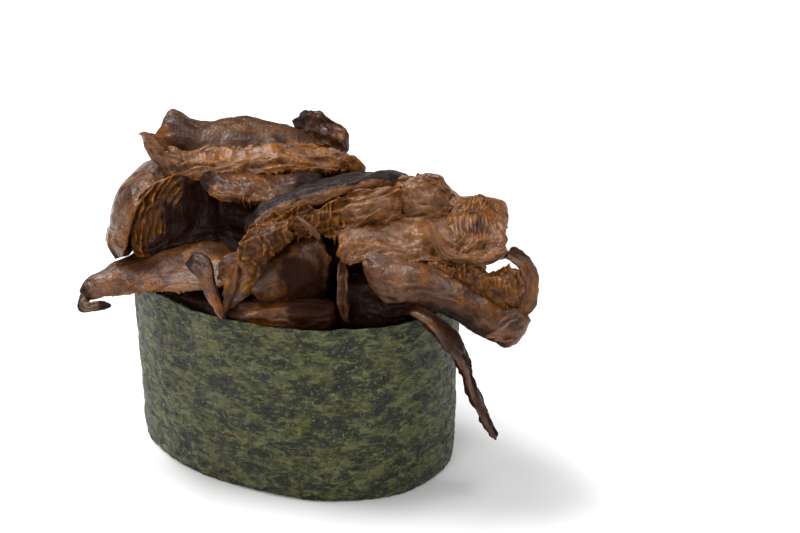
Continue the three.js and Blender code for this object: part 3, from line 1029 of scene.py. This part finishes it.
SLICES = (
    Slice("dangling_strip", "dark_glazed", Leaf(
        ((18, -22.5, 33.5, 18.5, -22.5, 32.2), (22, -25.5, 33.5, 21, -25.5, 31.6),
         (25, -26, 31, 23, -25.5, 28.8), (27.5, -24.5, 26.5, 25.7, -24, 24.6),
         (29, -22, 20, 27.4, -22, 19), (31, -20, 14.5, 29.6, -20, 13.5), (33, -18.5, 9, 32, -18.5, 8.5)),
        1.6, 0.4, DARK, ((FACE, 0.1, 0.95, 70, 120), (FACE, 0.1, 0.95, 250, 300)), shade=0.5, wave=0.35,
        fold=0.35, fold_size=(12.0, 1.0), grooves=5)),
    Slice("hook_strip", "braised_skin", Leaf(
        ((-16, -14, 38, -16, -14.5, 36), (-14.5, -15, 39, -14.5, -16, 35.5),
         (-12.5, -16.5, 38.5, -13.5, -17.5, 34.5), (-11.5, -18.5, 35.5, -12.5, -19, 32.5),
         (-10.5, -19.5, 32.5, -11.5, -19.5, 31), (-10, -20, 30.5, -11, -20, 30)),
        2.0, 0.5, FACE, ((SKIN, 0, 0.22, 0, 360), (DARK, 0, 1, -18, 18), (DARK, 0, 1, 165, 195)),
        wave=0.15, fold=0.2, ragged=0.15)),
    Slice("right_front_slice", "braised_flesh", Leaf(
        ((11.5, -16.5, 40.5, 12, -19.5, 36), (14, -17.5, 40, 14.5, -22.5, 34.3),
         (18, -18, 39, 19, -23.8, 33.6), (23, -18, 37.8, 24.5, -24, 32), (28.5, -18, 35, 29, -24, 29),
         (34, -18, 32.5, 33.5, -23, 26.5), (37, -18, 30.5, 37, -20, 27.5)),
        2.6, 1.0, FACE, ((FLESH, 0, 1, -30, 30), (SKIN, 0.3, 0.84, 140, 250),
        (DARK, 0.25, 0.42, 150, 220), (FLESH, 0.88, 1, 0, 360)), rings=32, shade=0.3, wrinkle=0.06,
        fold=0.35, fold_size=(6.0, 2.0)), Leaf(
        ((33.5, -15, 39, 33.5, -15.5, 38), (35, -14.5, 40, 34.5, -16, 38),
         (37.5, -15, 38.5, 36, -16.5, 37), (38.5, -16, 35, 36, -17.5, 34.5),
         (38.5, -17.5, 32, 35.5, -19, 32), (37, -18.5, 29, 34, -20.5, 31.5)),
        2.0, -0.6, FACE, ((AMBER, 0.1, 0.9, 130, 250), (GILL, 0.35, 1, 165, 220)), wave=0.2, pitch=0.6,
        depth=0.4)),
    Slice("front_gill_ridge", "amber_gills", Leaf(
        ((21, -18, 38.5, 21.5, -20, 38), (25, -18, 37.5, 25, -20.5, 36),
         (29, -17.5, 36.5, 29.5, -21.5, 34), (33, -16.5, 37.3, 32.5, -22, 32),
         (36.5, -16, 37, 35.5, -21, 30.5)),
        2.4, 1.0, AMBER, ((GILL, 0, 1, -20, 200),), rings=40, depth=1.3, pitch=0.85, lean=0.5, tear=1.5,
        gap_shade=0.7)),
    Slice("left_tongue_slice", "braised_flesh", Leaf(
        ((-34, -8, 30.5, -33.5, -10, 28.5), (-32, -6, 31.5, -28.5, -11, 30.5),
         (-25.5, -3, 34.3, -24, -13, 31.5), (-20.5, -1, 36.4, -17, -15, 32.5),
         (-14.5, -1, 36.5, -12.5, -16, 33.5), (-8, -3, 35.5, -8, -16, 34)),
        2.0, 0.7, FACE, ((DARK, 0, 0.55, -60, 12), (AMBER, 0.08, 0.75, 160, 260),
        (GILL, 0.12, 0.72, 178, 250), (DARK, 0, 0.04, 0, 360)), rings=40, pitch=0.55, depth=0.45,
        wrinkle=0.05, wave=0.35, fold=0.15, ragged=0.25), Leaf(
        ((-32.5, -8.5, 31.5, -31, -9.5, 30), (-34, -9.5, 29.5, -32.5, -10, 29),
         (-34, -10.5, 27.5, -32, -11, 29), (-32, -11, 27.5, -31.5, -11, 29),
         (-29, -11, 28, -29, -11, 29)),
        2.0, 0.0, FACE, ((DARK, 0.1, 1, -60, 40), (DARK, 0.8, 1, 0, 360)), wave=0.15, fold=0.2,
        ragged=0.2)),
    # The dark patch toward its near edge is painted shade under the fold.
    Slice("centre_petal", "amber_gills", Leaf(
        ((-6, -16, 33, -5, -18, 31.5), (-2.8, -12.8, 38, 0, -18, 32.5), (2, -11.2, 41.6, 4, -17, 31.5),
         (5.5, -11.5, 42.2, 6.2, -15, 32)),
        2.0, 2.2, FACE, ((DARK, 0.3, 0.85, 80, 165), (AMBER, 0, 0.7, -25, 45)), wave=0.3, fold=0.7,
        fold_size=(9.0, 3.0), curl=(0.0, -1.0), shade=0.4, edge_glow=1.0)),
    Slice("centre_fold_left", "braised_flesh", Leaf(
        ((-12, -14, 37, -10.5, -17, 31.5), (-10, -14, 38.5, -9, -17.5, 31),
         (-7.5, -14, 39.5, -6.5, -17, 32.5), (-5.5, -13.5, 40, -4.5, -16, 34),
         (-3, -13.5, 40.5, -2, -15.5, 36)),
        1.5, -0.5, FACE, ((AMBER, 0, 1, 60, 120),), wrinkle=0.1)),
    Slice("red_curl", "braised_flesh", Leaf(
        ((1, -15, 45.5, 1.5, -16, 44.5), (3, -16, 44.5, 3, -16.5, 43.5), (5, -16, 42, 4, -17, 42)),
        1.2, 0.3, wave=0.15, fold=0.2, ragged=0.15)),
    Slice("front_knob", "braised_flesh", Leaf(
        ((29, -21, 30, 30, -22, 27.5), (31.5, -22, 31, 32.5, -23.5, 27.5), (34, -22, 32, 34.5, -23, 28),
         (36, -20, 32, 36, -21, 29.5)),
        2, 0.4, FACE, ((FLESH, 0, 1, 150, 250),), wave=0.6, fold=0.5, fold_size=(3.0, 1.6))),
    Slice("centre_gill_lump", "amber_gills", Leaf(
        ((-8, -15, 40, -7.5, -16, 37), (-6, -15, 42.5, -5, -17, 38.5), (-2.5, -15, 44, -2, -17, 39.5),
         (0, -15, 45, 0.5, -16.5, 41)),
        2.4, 0.8, AMBER, ((GILL, 0, 1, -10, 220),), rings=30, depth=0.8, wave=0.6, ragged=0.7)),
    Slice("centre_fold_strip", "braised_skin", Leaf(
        ((-8, -14.5, 38.5, -7, -13, 38.5), (-8.5, -17, 35.5, -7.5, -15.5, 35),
         (-9.5, -18.5, 32.5, -9, -17.5, 32), (-10.5, -19.5, 30, -10, -19, 29.5)),
        1.4, 0.4, wave=0.2, fold=0.3, ragged=0.2)),
    Slice("rim_slice_front", "amber_gills", Leaf(
        ((-10, -16, 31.5, -9.5, -19, 27.5), (-4.5, -17, 31.5, -3.5, -20, 27.5),
         (1.5, -17, 32, 2, -21, 28), (7, -16, 32, 7.5, -20.5, 28)),
        2.4, 1.0, DARK, ((FACE, 0.1, 0.6, 20, 220), (AMBER, 0.2, 0.5, 60, 160)), fold=0.7, shade=0.6)),
    Slice("rim_slice_left", "dark_glazed", Leaf(
        ((-21.5, -5, 29.5, -20.5, -6, 27.5), (-16, -10, 30, -16, -12, 28),
         (-11, -14, 31.5, -10.5, -17.5, 28)),
        2.4, 1.0, DARK)),
    Slice("hanging_fringe", "braised_skin", Leaf(
        ((7.5, -17, 38.5, 9, -17, 38.5), (7.5, -19, 34.5, 9, -19.5, 34.5),
         (8.3, -20, 29.5, 9.1, -20, 29.5)),
        1.4, 0.0, shade=0.4, grooves=4, wave=0.2)),
    Slice("upper_right_slab", "braised_flesh", Leaf(
        ((7.5, -15, 41, 8, -18.5, 38.5), (8.5, -12, 42.5, 10, -19, 39), (12.5, -9, 43, 14.5, -19, 39),
         (18, -8, 43.5, 19, -19, 39), (23.5, -8, 43, 24, -18.5, 38), (27, -8, 41, 27.5, -17, 36)),
        2.4, 0.5, FLESH, ((GILL, 0.5, 1, 165, 250), (AMBER, 0, 0.12, 0, 360)), rings=36, sides=13,
        wave=0.8, fold=0.6, fold_size=(9.0, 2.0), wrinkle=0.13, ragged=0.8, shade=0.1)),
    Slice("gill_swirl_slice", "braised_flesh", Leaf(
        ((23, -9, 43, 24, -17, 38.5), (26, -6, 44.5, 26.5, -16.5, 38), (30, -4, 44, 30.5, -16, 38.5),
         (34, -7, 42.5, 34, -15, 39.5)),
        2.6, 0.5, FLESH, ((GILL, 0.05, 0.9, 15, 150),), rings=36, sides=13, pitch=0.6, depth=0.35,
        gap_shade=0.5, tear=0.6, hub=(-4.0, 8.0), wave=0.8, ragged=0.9, wrinkle=0.12)),
    Slice("swirl_lip", "braised_flesh", Leaf(
        ((21.5, -16, 45, 21.5, -17.5, 44.5), (23.5, -17, 42, 23, -18.5, 41),
         (26, -17.5, 40, 25.5, -19, 39), (30, -17, 39.5, 30, -18.5, 38.5), (34, -15, 40, 34, -16, 39)),
        1.6, 0.3, FLESH, wave=0.3, fold=0.3, wrinkle=0.12)),
    Slice("mid_flesh_chunk", "braised_flesh", Leaf(
        ((16, -8, 48.5, 16.5, -10, 43.5), (19.5, -7, 49, 20, -11, 42.5), (22.5, -6, 48, 23.5, -11, 42),
         (24.5, -5.5, 46, 25.5, -9.5, 42.5)),
        2.4, 0.2, FLESH, wave=0.7, fold=0.8, fold_size=(6.0, 1.2), wrinkle=0.12, ragged=0.8)),
    Slice("long_cut_slice", "braised_flesh", Leaf(
        ((-7, -4, 38.5, -7, -14, 41), (-2, -2, 41, -3.5, -13, 44), (4.5, 0, 43.5, 1.5, -12, 46),
         (11, 0, 45, 7.5, -11, 47.5), (17.5, 0, 45.5, 13, -10, 48.5), (19, -1, 45, 18, -8, 47.5)),
        3.6, 0.4, SKIN, ((FLESH, 0, 1, 162, 232), (GILL, 0, 1, 232, 290)), rings=46, sides=13, depth=1.0,
        pitch=0.85, wrinkle=0.1, fold=0.3, ragged=0.25, taper=0.15, shade=0.1)),
    Slice("long_gill_curtain", "amber_gills", Leaf(
        ((-7.5, -13.5, 41.4, -7.5, -15, 39.2), (-4.5, -13, 43.2, -4, -15, 39),
         (0, -12.4, 44.5, 0, -14.7, 40.6), (4.5, -11.8, 45.9, 4.5, -14.3, 41.4),
         (8.5, -11.2, 46.5, 9, -13.8, 41.6), (13.5, -10.6, 47.2, 13.5, -13.3, 43),
         (18, -9.5, 47.6, 18, -12, 44)),
        1.6, 0.3, FLESH, ((AMBER, 0, 0.7, 0, 360), (GILL, 0, 0.66, 10, 250)), rings=48, depth=1.0,
        pitch=0.85, tear=0.85, gap_shade=0.8, wave=0.9, ragged=1.3, fold=0.9, fold_size=(6.0, 1.3),
        wrinkle=0.14)),
    Slice("gill_tuft", "amber_gills", Leaf(
        ((23, 0, 40.2, 24.5, -7, 39.2), (28.5, 3, 41, 29, -5, 40), (34.5, 3, 39.6, 34.5, -4, 38.8)),
        3.0, 1.0, FLESH, ((GILL, 0, 0.7, 20, 110), (DARK, 0, 1, -60, 10)), rings=36, depth=0.3, gap_shade=0.4,
        pitch=0.7, hub=(-2.0, -3.0), ragged=1.0, wave=0.9, wrinkle=0.12)),
    Slice("dark_core_slice", "dark_glazed", Leaf(
        ((8.5, -13, 34.5, 8.5, -17, 28), (13.5, -14, 35, 14, -19, 28.5), (19, -15, 35, 19.5, -19, 30)),
        3.0, 1.0, DARK)),
    Slice("upper_amber_strip", "amber_gills", Leaf(
        ((-24.5, 1, 53.5, -24.5, 1, 53), (-22.5, 2, 52.5, -23, -1, 50.5), (-18, 4, 48.5, -18, -3, 47),
         (-10, 7, 48.5, -9, -2, 46.5), (-1.5, 8, 49, -1, -1, 46.5), (5.5, 8, 47.5, 6.5, 1, 46.5),
         (11, 6.5, 45.5, 11.5, 4, 45)),
        2.4, 0.8, AMBER, ((FLESH, 0, 0.35, 0, 360), (GILL, 0.5, 0.95, 170, 240)), rings=44, sides=13,
        ragged=0.7, fold=0.9, fold_size=(13.0, 1.5), pitch=0.8, depth=0.6, gap_shade=0.8, wrinkle=0.12,
        shade=0.18)),
    Slice("upper_gill_strip", "braised_flesh", Leaf(
        ((-15, -1, 48, -14.5, -5, 46), (-13, 2, 46, -11, -7, 45), (-7, 3, 45, -5.5, -8, 44),
         (-0.5, 3, 45.5, 0, -8, 43.5), (5, 3, 46, 4, -5, 45)),
        3.0, 1.0, FACE, ((AMBER, 0.1, 1, 120, 200), (GILL, 0.3, 0.95, 160, 250), (SKIN, 0.75, 1, 0, 120),
        (SKIN, 0, 0.1, 0, 360)), rings=38, depth=1.0, pitch=0.75, gap_shade=0.8, wrinkle=0.12, shade=0.5)),
    Slice("left_cap_half", "braised_skin", Leaf(
        ((-20.5, 9, 44.5, -17.5, -1, 47), (-24.5, 11, 41, -22, -6, 46), (-26, 11, 37.5, -25, -9, 43.5),
         (-26.5, 8, 34.5, -26, -10, 40), (-27, 2, 33, -26.5, -10, 37.5),
         (-29, -3, 33.5, -27.5, -8, 35.5)),
        2.4, -2.8, FACE, ((AMBER, 0.1, 0.8, 140, 200),), rings=36, fold=0.2, ragged=0.25, shade=0.2), Leaf(
        ((-25, -8.5, 44.5, -25.5, -9.5, 35.5), (-22.5, -7, 47, -22.5, -8, 36),
         (-18.5, -4.5, 48.5, -19, -6.5, 37), (-14.5, -2, 46, -14.5, -5, 37), (-8, 1, 42.5, -7.5, -4, 37)),
        2.0, -0.6, AMBER, ((GILL, 0, 1, 10, 160), (DARK, 0.2, 1, 112, 230), (DARK, 0.38, 1, 80, 230),
        (DARK, 0.52, 1, 0, 360)), rings=40, sides=13, depth=1.6, pitch=1.1, hub=(12.0, -3.0), wave=0.8,
        tear=0.45)),
    # A near-black sheet at the back of the cavity: its colour is painted shade for the cavity's dark hollow.
    Slice("cavity_fold", "dark_glazed", Leaf(
        ((-21, 2, 45, -21, 0, 34.5), (-15.5, 4, 45, -15.5, 0, 35), (-8, 4.5, 44, -8, 0, 35),
         (-0.5, 4.5, 44.5, -0.5, -1, 36)),
        2.0, 0.0, DARK, wave=0.8, fold=0.8)),
    Slice("back_cap_slice", "braised_skin", Leaf(
        ((-22.5, 8, 51.5, -21.5, 5, 50), (-20, 10, 54.5, -18.5, 4, 48.5), (-15.5, 11, 52, -14.5, 3, 47.5),
         (-9, 12, 52.5, -8, 3, 48), (-2, 12, 51, -1.5, 4, 48), (3, 11, 48, 3.5, 6, 48)),
        2.0, 1.0, FACE, ((AMBER, 0, 0.12, 0, 360), (AMBER, 0.15, 1, 145, 230), (DARK, 0.1, 1, -16, 16)),
        rings=32, wrinkle=0.06, wave=0.35, fold=0.3, shade=0.6)),
    Slice("back_dark_chunk", "dark_glazed", Leaf(
        ((0, 15, 53, -0.5, 12, 49.5), (4, 16, 52, 3.5, 12, 47), (9, 15, 48.5, 8, 12, 45)),
        2.6, 0.6, FACE, ((SKIN, 0, 0.2, 0, 360), (SKIN, 0, 1, -30, 30), (FLESH, 0.1, 0.5, 120, 200)),
        wave=1.0, fold=1.0, fold_size=(5.0, 2.0), wrinkle=0.12, ragged=0.7, shade=0.3)),
    Slice("back_crown_slice", "braised_skin", Leaf(
        ((-19, 10, 47, -25, 13, 39.5), (-11, 13, 48, -15.5, 20.5, 40), (-2, 14, 47, -3, 22, 41),
         (6, 14, 45, 8, 19, 41)),
        3.0, 1.5, FACE, ((SKIN, 0, 1, 200, 330),), wave=0.6, rings=30, edge_glow=1.0)),
    Slice("back_rim_flap", "amber_gills", Leaf(
        ((-1, 20, 41, 3, 28, 35), (4, 18, 42, 10, 27, 33.5), (10, 15, 42, 17, 22, 34),
         (15, 12, 41, 22, 17, 35)),
        2.6, 2.0, AMBER, ((GILL, 0.1, 0.9, 150, 220),), rings=30)),
    Slice("back_tongue_slice", "braised_flesh", Leaf(
        ((-28, 11, 36.5, -31, 12.5, 34), (-22, 14, 39, -27, 20, 33), (-14, 17.5, 39.8, -18.5, 26.5, 31.5),
         (-7, 19.5, 39.5, -10, 28.8, 30.8), (-1.5, 21.5, 37.5, -3, 26, 33.5)),
        2.8, 1.5, FACE, ((GILL, 0.1, 0.9, 150, 230),), rings=32, wave=0.6, edge_glow=1.0, shade=0.15)),
    Slice("right_cap_half", "braised_skin", Leaf(
        ((19, 9, 44, 24, 14, 36), (24, 5, 44, 30, 9, 35), (27, 0, 42, 34, 2, 34),
         (27, -5, 40, 34, -6, 34)),
        2.6, 3.0, FACE, ((FLESH, 0, 1, 160, 200),))),
    Slice("right_rim_slice", "braised_flesh", Leaf(
        ((16, 6, 36, 23, 13, 31.5), (22, 1, 36, 29, 5, 32), (24, -6, 36, 31, -5, 32),
         (23, -13, 36, 29, -14, 32)),
        3.0, 1.0, FACE, ((GILL, 0, 1, 150, 240),), rings=32)),
    Slice("back_rim_slice", "dark_glazed", Leaf(
        ((-24, 7, 36, -28, 12, 31.8), (-14, 12, 36, -17, 22, 31.8), (-2, 15, 36, -2, 25, 31.8),
         (10, 13, 36, 14, 21, 31.8), (16, 9, 36, 20, 16, 31.8)),
        3.0, 1.0, DARK)),
    Slice("right_inner_fold", "braised_flesh", Leaf(
        ((20, 6, 38.5, 20, -9, 36.5), (24, 4, 38.5, 25, -9, 36.2), (28, 2, 37.8, 28.5, -5, 36.6)),
        4.0, 0.0, rings=15)),
    Slice("core_top_fold", "braised_flesh", Leaf(
        ((-16, 8, 42, -15, -1, 41), (-4, 10, 43, -4, -8, 39.5), (9, 9, 42.5, 9, -9, 39.5),
         (19, 4, 41, 17, -8, 39.5)),
        6.0, 1.0, DARK, wave=0.6, rings=18)),
    Slice("core_fold_left", "braised_flesh", Leaf(
        ((-22, 6, 35, -20, -3, 35), (-11, 9, 36, -10, -6, 35), (-1, 10, 36, -1, -9, 35)),
        7.0, 1.0, DARK, wave=0.6, rings=15)),
    Slice("core_fold_right", "braised_flesh", Leaf(
        ((1, 10, 36, 1, -9, 35), (11, 8, 36, 10, -10, 35), (19, 1, 35, 18, -9, 34.5)),
        7.0, 1.0, DARK, wave=0.6, rings=15)),
    Slice("core_slice_left", "braised_skin", Leaf(
        ((-21, 9, 28, -21, -5, 28), (-10, 14, 28, -10, -12, 28), (1, 17, 28, 0, -15, 28)),
        5.0, 0.0, DARK, rings=12)),
    Slice("core_slice_right", "braised_skin", Leaf(
        ((3, 17, 28, 3, -15, 28), (12, 13, 28, 11, -17, 28), (21, 6, 28, 20, -13, 28)),
        5.0, 0.0, DARK, rings=12)),
    Slice("bed_slice_left", "braised_skin", Leaf(
        ((-22, 9, 22.5, -22, -4, 22.5), (-12, 15, 22.5, -11, -12, 22.5), (-1, 18, 22.5, -1, -18, 22.5)),
        3.6, 0.0, rings=12)),
    Slice("bed_slice_right", "braised_skin", Leaf(
        ((1, 18, 22.5, 1, -18, 22.5), (11, 14, 22.5, 11, -17, 22.5), (21, 7, 22.5, 19, -13, 22.5)),
        3.6, 0.0, rings=12)),
)


@dataclass
class MushroomHeap:
    """Every braised slice above the rice."""

    slices: tuple[Slice, ...] = SLICES
    finish: BraisedFinish = field(default_factory=BraisedFinish)

    def build(self) -> None:
        """Makes and dresses the slices one after another."""
        material = self.finish.build()
        for piece in self.slices:
            piece.build(material)


@dataclass
class Oval:
    """The oval outline that the band and the rice share: length, width and squareness at foot and rim."""

    height: float = 30.0
    foot: Triple = (56.0, 41.2, 2.2)
    rim: Triple = (58.8, 46.0, 2.0)

    def points(self, angles: Array, heights: Array, offset: Array | float) -> Array:
        """Places points on the outline.

        Args:
            angles: Angles round it.
            heights: Heights above the table.
            offset: How far outside the outline.

        Returns:
            X, Y and Z, one row each.
        """
        part = heights / self.height
        length, width, squareness = (low + (high - low) * part for low, high in zip(self.foot, self.rim))
        cos, sin = np.cos(angles), np.sin(angles)
        x = (length / 2 + offset) * powered(cos, 2 / squareness)
        y = (width / 2 + offset) * powered(sin, 2 / squareness)
        return np.stack([x, y, heights], axis=1)


@dataclass
class NoriBand:
    """One strip of nori wound round the rice, its outer end lapped over its inner end at the back."""

    oval: Oval = field(default_factory=Oval)
    thick: float = 0.36
    lap: float = math.radians(28.0)
    ramp: float = math.radians(24.0)
    start: float = math.radians(76.0)
    lap_gap: float = 0.1
    columns: int = 520
    rows: int = 84
    dent: float = 0.28
    dent_size: float = 11.0
    crinkle: float = 0.2
    crinkle_size: float = 1.6
    crinkle_level: float = 0.6
    radius: float = 25.0
    edge_rag: float = 0.22
    edge_size: float = 5.0
    foot_rag: float = 0.12
    foot_size: float = 6.0
    foot_seat: float = 50.0
    hem: float = 0.25
    finish: NoriFinish = field(default_factory=NoriFinish)

    def build(self) -> Piece:
        """Makes the strip, its outer face first and then its thickness.

        Returns:
            The strip.
        """
        deselect()
        bpy.ops.mesh.primitive_grid_add(x_subdivisions=self.columns, y_subdivisions=self.rows, size=2.0)
        strip = bpy.context.object
        strip.name = "nori_strip"
        flat = mesh_points(strip.data)
        turn = (flat[:, 0] + 1.0) / 2 * (2 * math.pi + self.lap)
        rise = (flat[:, 1] + 1.0) / 2
        lifted = ease(2 * math.pi - self.ramp, 2 * math.pi, turn) * (self.thick + self.lap_gap)
        angles = self.start + turn
        base = self.oval.points(angles, rise * self.oval.height, 0.0)
        marks = np.stack([turn * self.radius, rise * self.oval.height, np.zeros(len(turn))], axis=1)
        edge = self.edge_rag * NOISE.layered(marks, self.edge_size, 3) * ease(0.9, 1.0, rise)
        foot = 1.0 + NOISE.layered(marks + self.foot_seat, self.foot_size, 3)
        foot = self.foot_rag * foot * (1.0 - ease(0.0, 0.06, rise))
        heights = np.clip(base[:, 2] + edge + foot, 0.0, None)
        dents = self.dent * (NOISE.layered(marks, self.dent_size, 2) - 1.0)
        creases = self.crinkle * (NOISE.layered(marks, self.crinkle_size, 3) - self.crinkle_level)
        hem = self.hem * (1.0 - ease(0.0, 0.05, rise))
        points = self.oval.points(angles, heights, lifted + np.minimum(dents + creases, 0.0) - hem)
        set_points(strip.data, points)
        self.face_outward(strip, angles)
        bpy.ops.object.modifier_add(type="SOLIDIFY")
        solid = strip.modifiers[-1]
        solid.thickness = self.thick * SCALE
        solid.offset = -1.0
        bpy.ops.object.modifier_apply(modifier=solid.name)
        bpy.ops.object.shade_smooth_by_angle(angle=math.radians(50.0))
        return strip

    def face_outward(self, strip: Piece, angles: Array) -> None:
        """Turns the open strip's faces away from the rice.

        Args:
            strip: The strip before it has a thickness.
            angles: Each vertex's angle round the oval.
        """
        face = strip.data.polygons[0]
        angle = angles[face.vertices[0]]
        if face.normal.dot(Vector((math.cos(angle), math.sin(angle), 0.0))) < 0:
            strip.data.flip_normals()

    def dress(self, strip: Piece) -> None:
        """Gives the strip its finish and its place on the frame."""
        hang(strip, "nori_band", self.finish.build())


@dataclass
class RiceBlock:
    """The pressed rice, with loose grains showing on its top."""

    oval: Oval = field(default_factory=Oval)
    height: float = 19.0
    wall: float = -1.1
    grain_length: float = 5.6
    grain_width: float = 2.5
    flatness: float = 2.3
    spacing: float = 2.4
    seat_shake: float = 0.9
    half_x: float = 24.5
    half_y: float = 17.5
    lump: float = 0.25
    lump_size: float = 2.6
    tip: float = 22.0
    recess_shade: float = 0.9
    proud: float = 0.5
    top_round: float = 0.28
    side_round: float = 0.35
    finish: RiceFinish = field(default_factory=RiceFinish)

    def build(self) -> Piece:
        """Makes the block and lays its grains.

        Returns:
            The rice's one object.
        """
        block, places, angles = drawn_ball("rice_core", 24, 12)
        reach = np.abs(np.sin(math.pi * places)) ** self.top_round
        level = (powered(np.cos(math.pi * places), self.side_round) + 1.0) / 2
        outline = self.oval.points(angles, level * self.height, self.wall)
        points = np.stack([outline[:, 0] * reach, outline[:, 1] * reach, outline[:, 2]], axis=1)
        lumps = self.lump * NOISE.layered(points, self.lump_size, 2) * level
        points[:, 2] = np.clip(points[:, 2] + lumps, 0.0, self.height)
        set_points(block.data, points)
        bpy.ops.mesh.primitive_uv_sphere_add(segments=8, ring_count=6, radius=1.0)
        model = bpy.context.object
        bpy.ops.object.shade_smooth()
        grains = [self.grain(model, number, x, y) for number, (x, y) in enumerate(self.seats())]
        bpy.data.objects.remove(model)
        return joined(block, grains)

    def seats(self) -> list[tuple[float, float]]:
        """Chooses where the grains lie.

        Returns:
            X and Y of each grain.
        """
        draw = np.random.default_rng(5)
        found = []
        for x in np.arange(-self.half_x, self.half_x, self.spacing):
            for y in np.arange(-self.half_y, self.half_y, self.spacing):
                shake_x, shake_y = (draw.uniform(-self.seat_shake, self.seat_shake) for _ in range(2))
                spot = (x + shake_x, y + shake_y)
                if (spot[0] / self.half_x) ** 2 + (spot[1] / self.half_y) ** 2 < 1.0:
                    found.append(spot)
        return found

    def grain(self, model: Piece, number: int, x: float, y: float) -> Piece:
        """Copies one grain and lays it down.

        Args:
            model: A ball of radius one.
            number: The grain's place in the count, which fixes how it lies.
            x: Where it lies.
            y: Where it lies.

        Returns:
            The grain.
        """
        draw = np.random.default_rng(100 + number)
        grain = model.copy()
        grain.data = model.data.copy()
        bpy.context.scene.collection.objects.link(grain)
        halves = (self.grain_width / 2, self.grain_width / self.flatness, self.grain_length / 2)
        points = mesh_points(grain.data) * halves
        tilt, spin = math.radians(90.0 + draw.uniform(-self.tip, self.tip)), draw.uniform(0.0, math.tau)
        y_turned = points[:, 1] * math.cos(tilt) - points[:, 2] * math.sin(tilt)
        z_turned = points[:, 1] * math.sin(tilt) + points[:, 2] * math.cos(tilt)
        x_spun = points[:, 0] * math.cos(spin) - y_turned * math.sin(spin)
        y_spun = points[:, 0] * math.sin(spin) + y_turned * math.cos(spin)
        rest = self.height - self.recess_shade + draw.uniform(0.0, self.proud)
        z = np.minimum(z_turned + rest, self.height + self.proud)
        points = np.stack([x_spun + x, y_spun + y, z], axis=1)
        grain.data.vertices.foreach_set("co", (points * SCALE).ravel())
        return grain

    def dress(self, block: Piece) -> None:
        """Gives the rice its finish and its place on the frame."""
        hang(block, "rice_block", self.finish.build())


@dataclass(frozen=True)
class Lamp:
    """A soft square lamp aimed at the heap: across, away and up in metres, its width, and its watts."""

    name: str
    place: Triple
    size: float
    power: float

    AIM = Vector((0.0, 0.0, 0.03))

    def build(self) -> None:
        """Hangs the lamp."""
        spot = Vector(turned(np.array([self.place]))[0])
        bpy.ops.object.light_add(type="AREA", location=spot)
        lamp = bpy.context.object
        lamp.name = self.name
        lamp.data.size = self.size
        lamp.data.energy = self.power
        lamp.rotation_euler = (spot - self.AIM).to_track_quat("Z", "Y").to_euler()


@dataclass
class Studio:
    """The pale table, the soft lights and the camera, which looks from azimuth round and rise up."""

    azimuth: float = math.radians(37.0)
    rise: float = math.radians(21.5)
    lens: float = 108.0
    sensor: float = 36.0
    near: float = 0.01
    distance: float = 0.396
    aim: Triple = (17.2, 10.1, 20.0)
    room_light: float = 0.3
    table_colour: Colour = (0.87, 0.87, 0.875)
    table_rough: float = 0.7
    lamps: tuple[Lamp, ...] = (
        Lamp("key", (-0.6, 0.35, 1.45), 0.85, 24.0),
        Lamp("overhead", (0.6, -0.1, 1.5), 0.7, 11.0),
        Lamp("glint", (-0.35, 0.55, 0.9), 0.18, 2.5),
        Lamp("front_fill", (-0.45, -1.1, 0.7), 0.6, 6.0),
    )

    def build(self) -> None:
        """Sets up the table, the lights and the camera."""
        self.table()
        self.world()
        bpy.context.scene.view_settings.view_transform = "Standard"
        back, right, up = self.axes()
        across, above, high = (part * SCALE for part in self.aim)
        self.camera(right * across + up * above + Vector((0, 0, high)), back)
        for lamp in self.lamps:
            lamp.build()

    def axes(self) -> tuple[Vector, Vector, Vector]:
        """The camera's three directions.

        Returns:
            Towards the camera, to its right and to its top.
        """
        flat = math.cos(self.rise)
        back = Vector((math.sin(self.azimuth) * flat, -math.cos(self.azimuth) * flat, math.sin(self.rise)))
        right = Vector((math.cos(self.azimuth), math.sin(self.azimuth), 0.0))
        return back, right, back.cross(right)

    def camera(self, target: Vector, back: Vector) -> None:
        """Adds the camera.

        Args:
            target: What it looks at.
            back: The direction from the target to the camera.
        """
        bpy.ops.object.camera_add()
        eye = bpy.context.object
        eye.name = "front_camera"
        eye.data.lens = self.lens
        eye.data.sensor_width = self.sensor
        eye.data.clip_start = self.near
        eye.data.dof.use_dof = False
        eye.location = target + back * self.distance
        eye.rotation_euler = back.to_track_quat("Z", "Y").to_euler()
        bpy.context.scene.camera = eye

    def world(self) -> None:
        """Lights the room evenly."""
        world = bpy.data.worlds.new("soft_room")
        bpy.context.scene.world = world
        world.use_nodes = True
        glow = world.node_tree.nodes["Background"]
        glow.inputs["Color"].default_value = (1.0, 1.0, 1.0, 1.0)
        glow.inputs["Strength"].default_value = self.room_light

    def table(self) -> None:
        """Lays the pale table."""
        deselect()
        bpy.ops.mesh.primitive_plane_add(size=4.0)
        floor = bpy.context.object
        floor.name = "pale_table"
        feeds = {"Base Color": self.table_colour, "Roughness": self.table_rough}
        floor.data.materials.append(NodeBoard("pale_table").finished(feeds))


def main() -> None:
    """Loads the frame and dresses every node of it."""
    logging.basicConfig(level=logging.INFO, format="%(message)s")
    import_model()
    band = NoriBand()
    band.dress(band.build())
    rice = RiceBlock()
    rice.dress(rice.build())
    MushroomHeap().build()
    Studio().build()


if __name__ == "__main__":
    main()
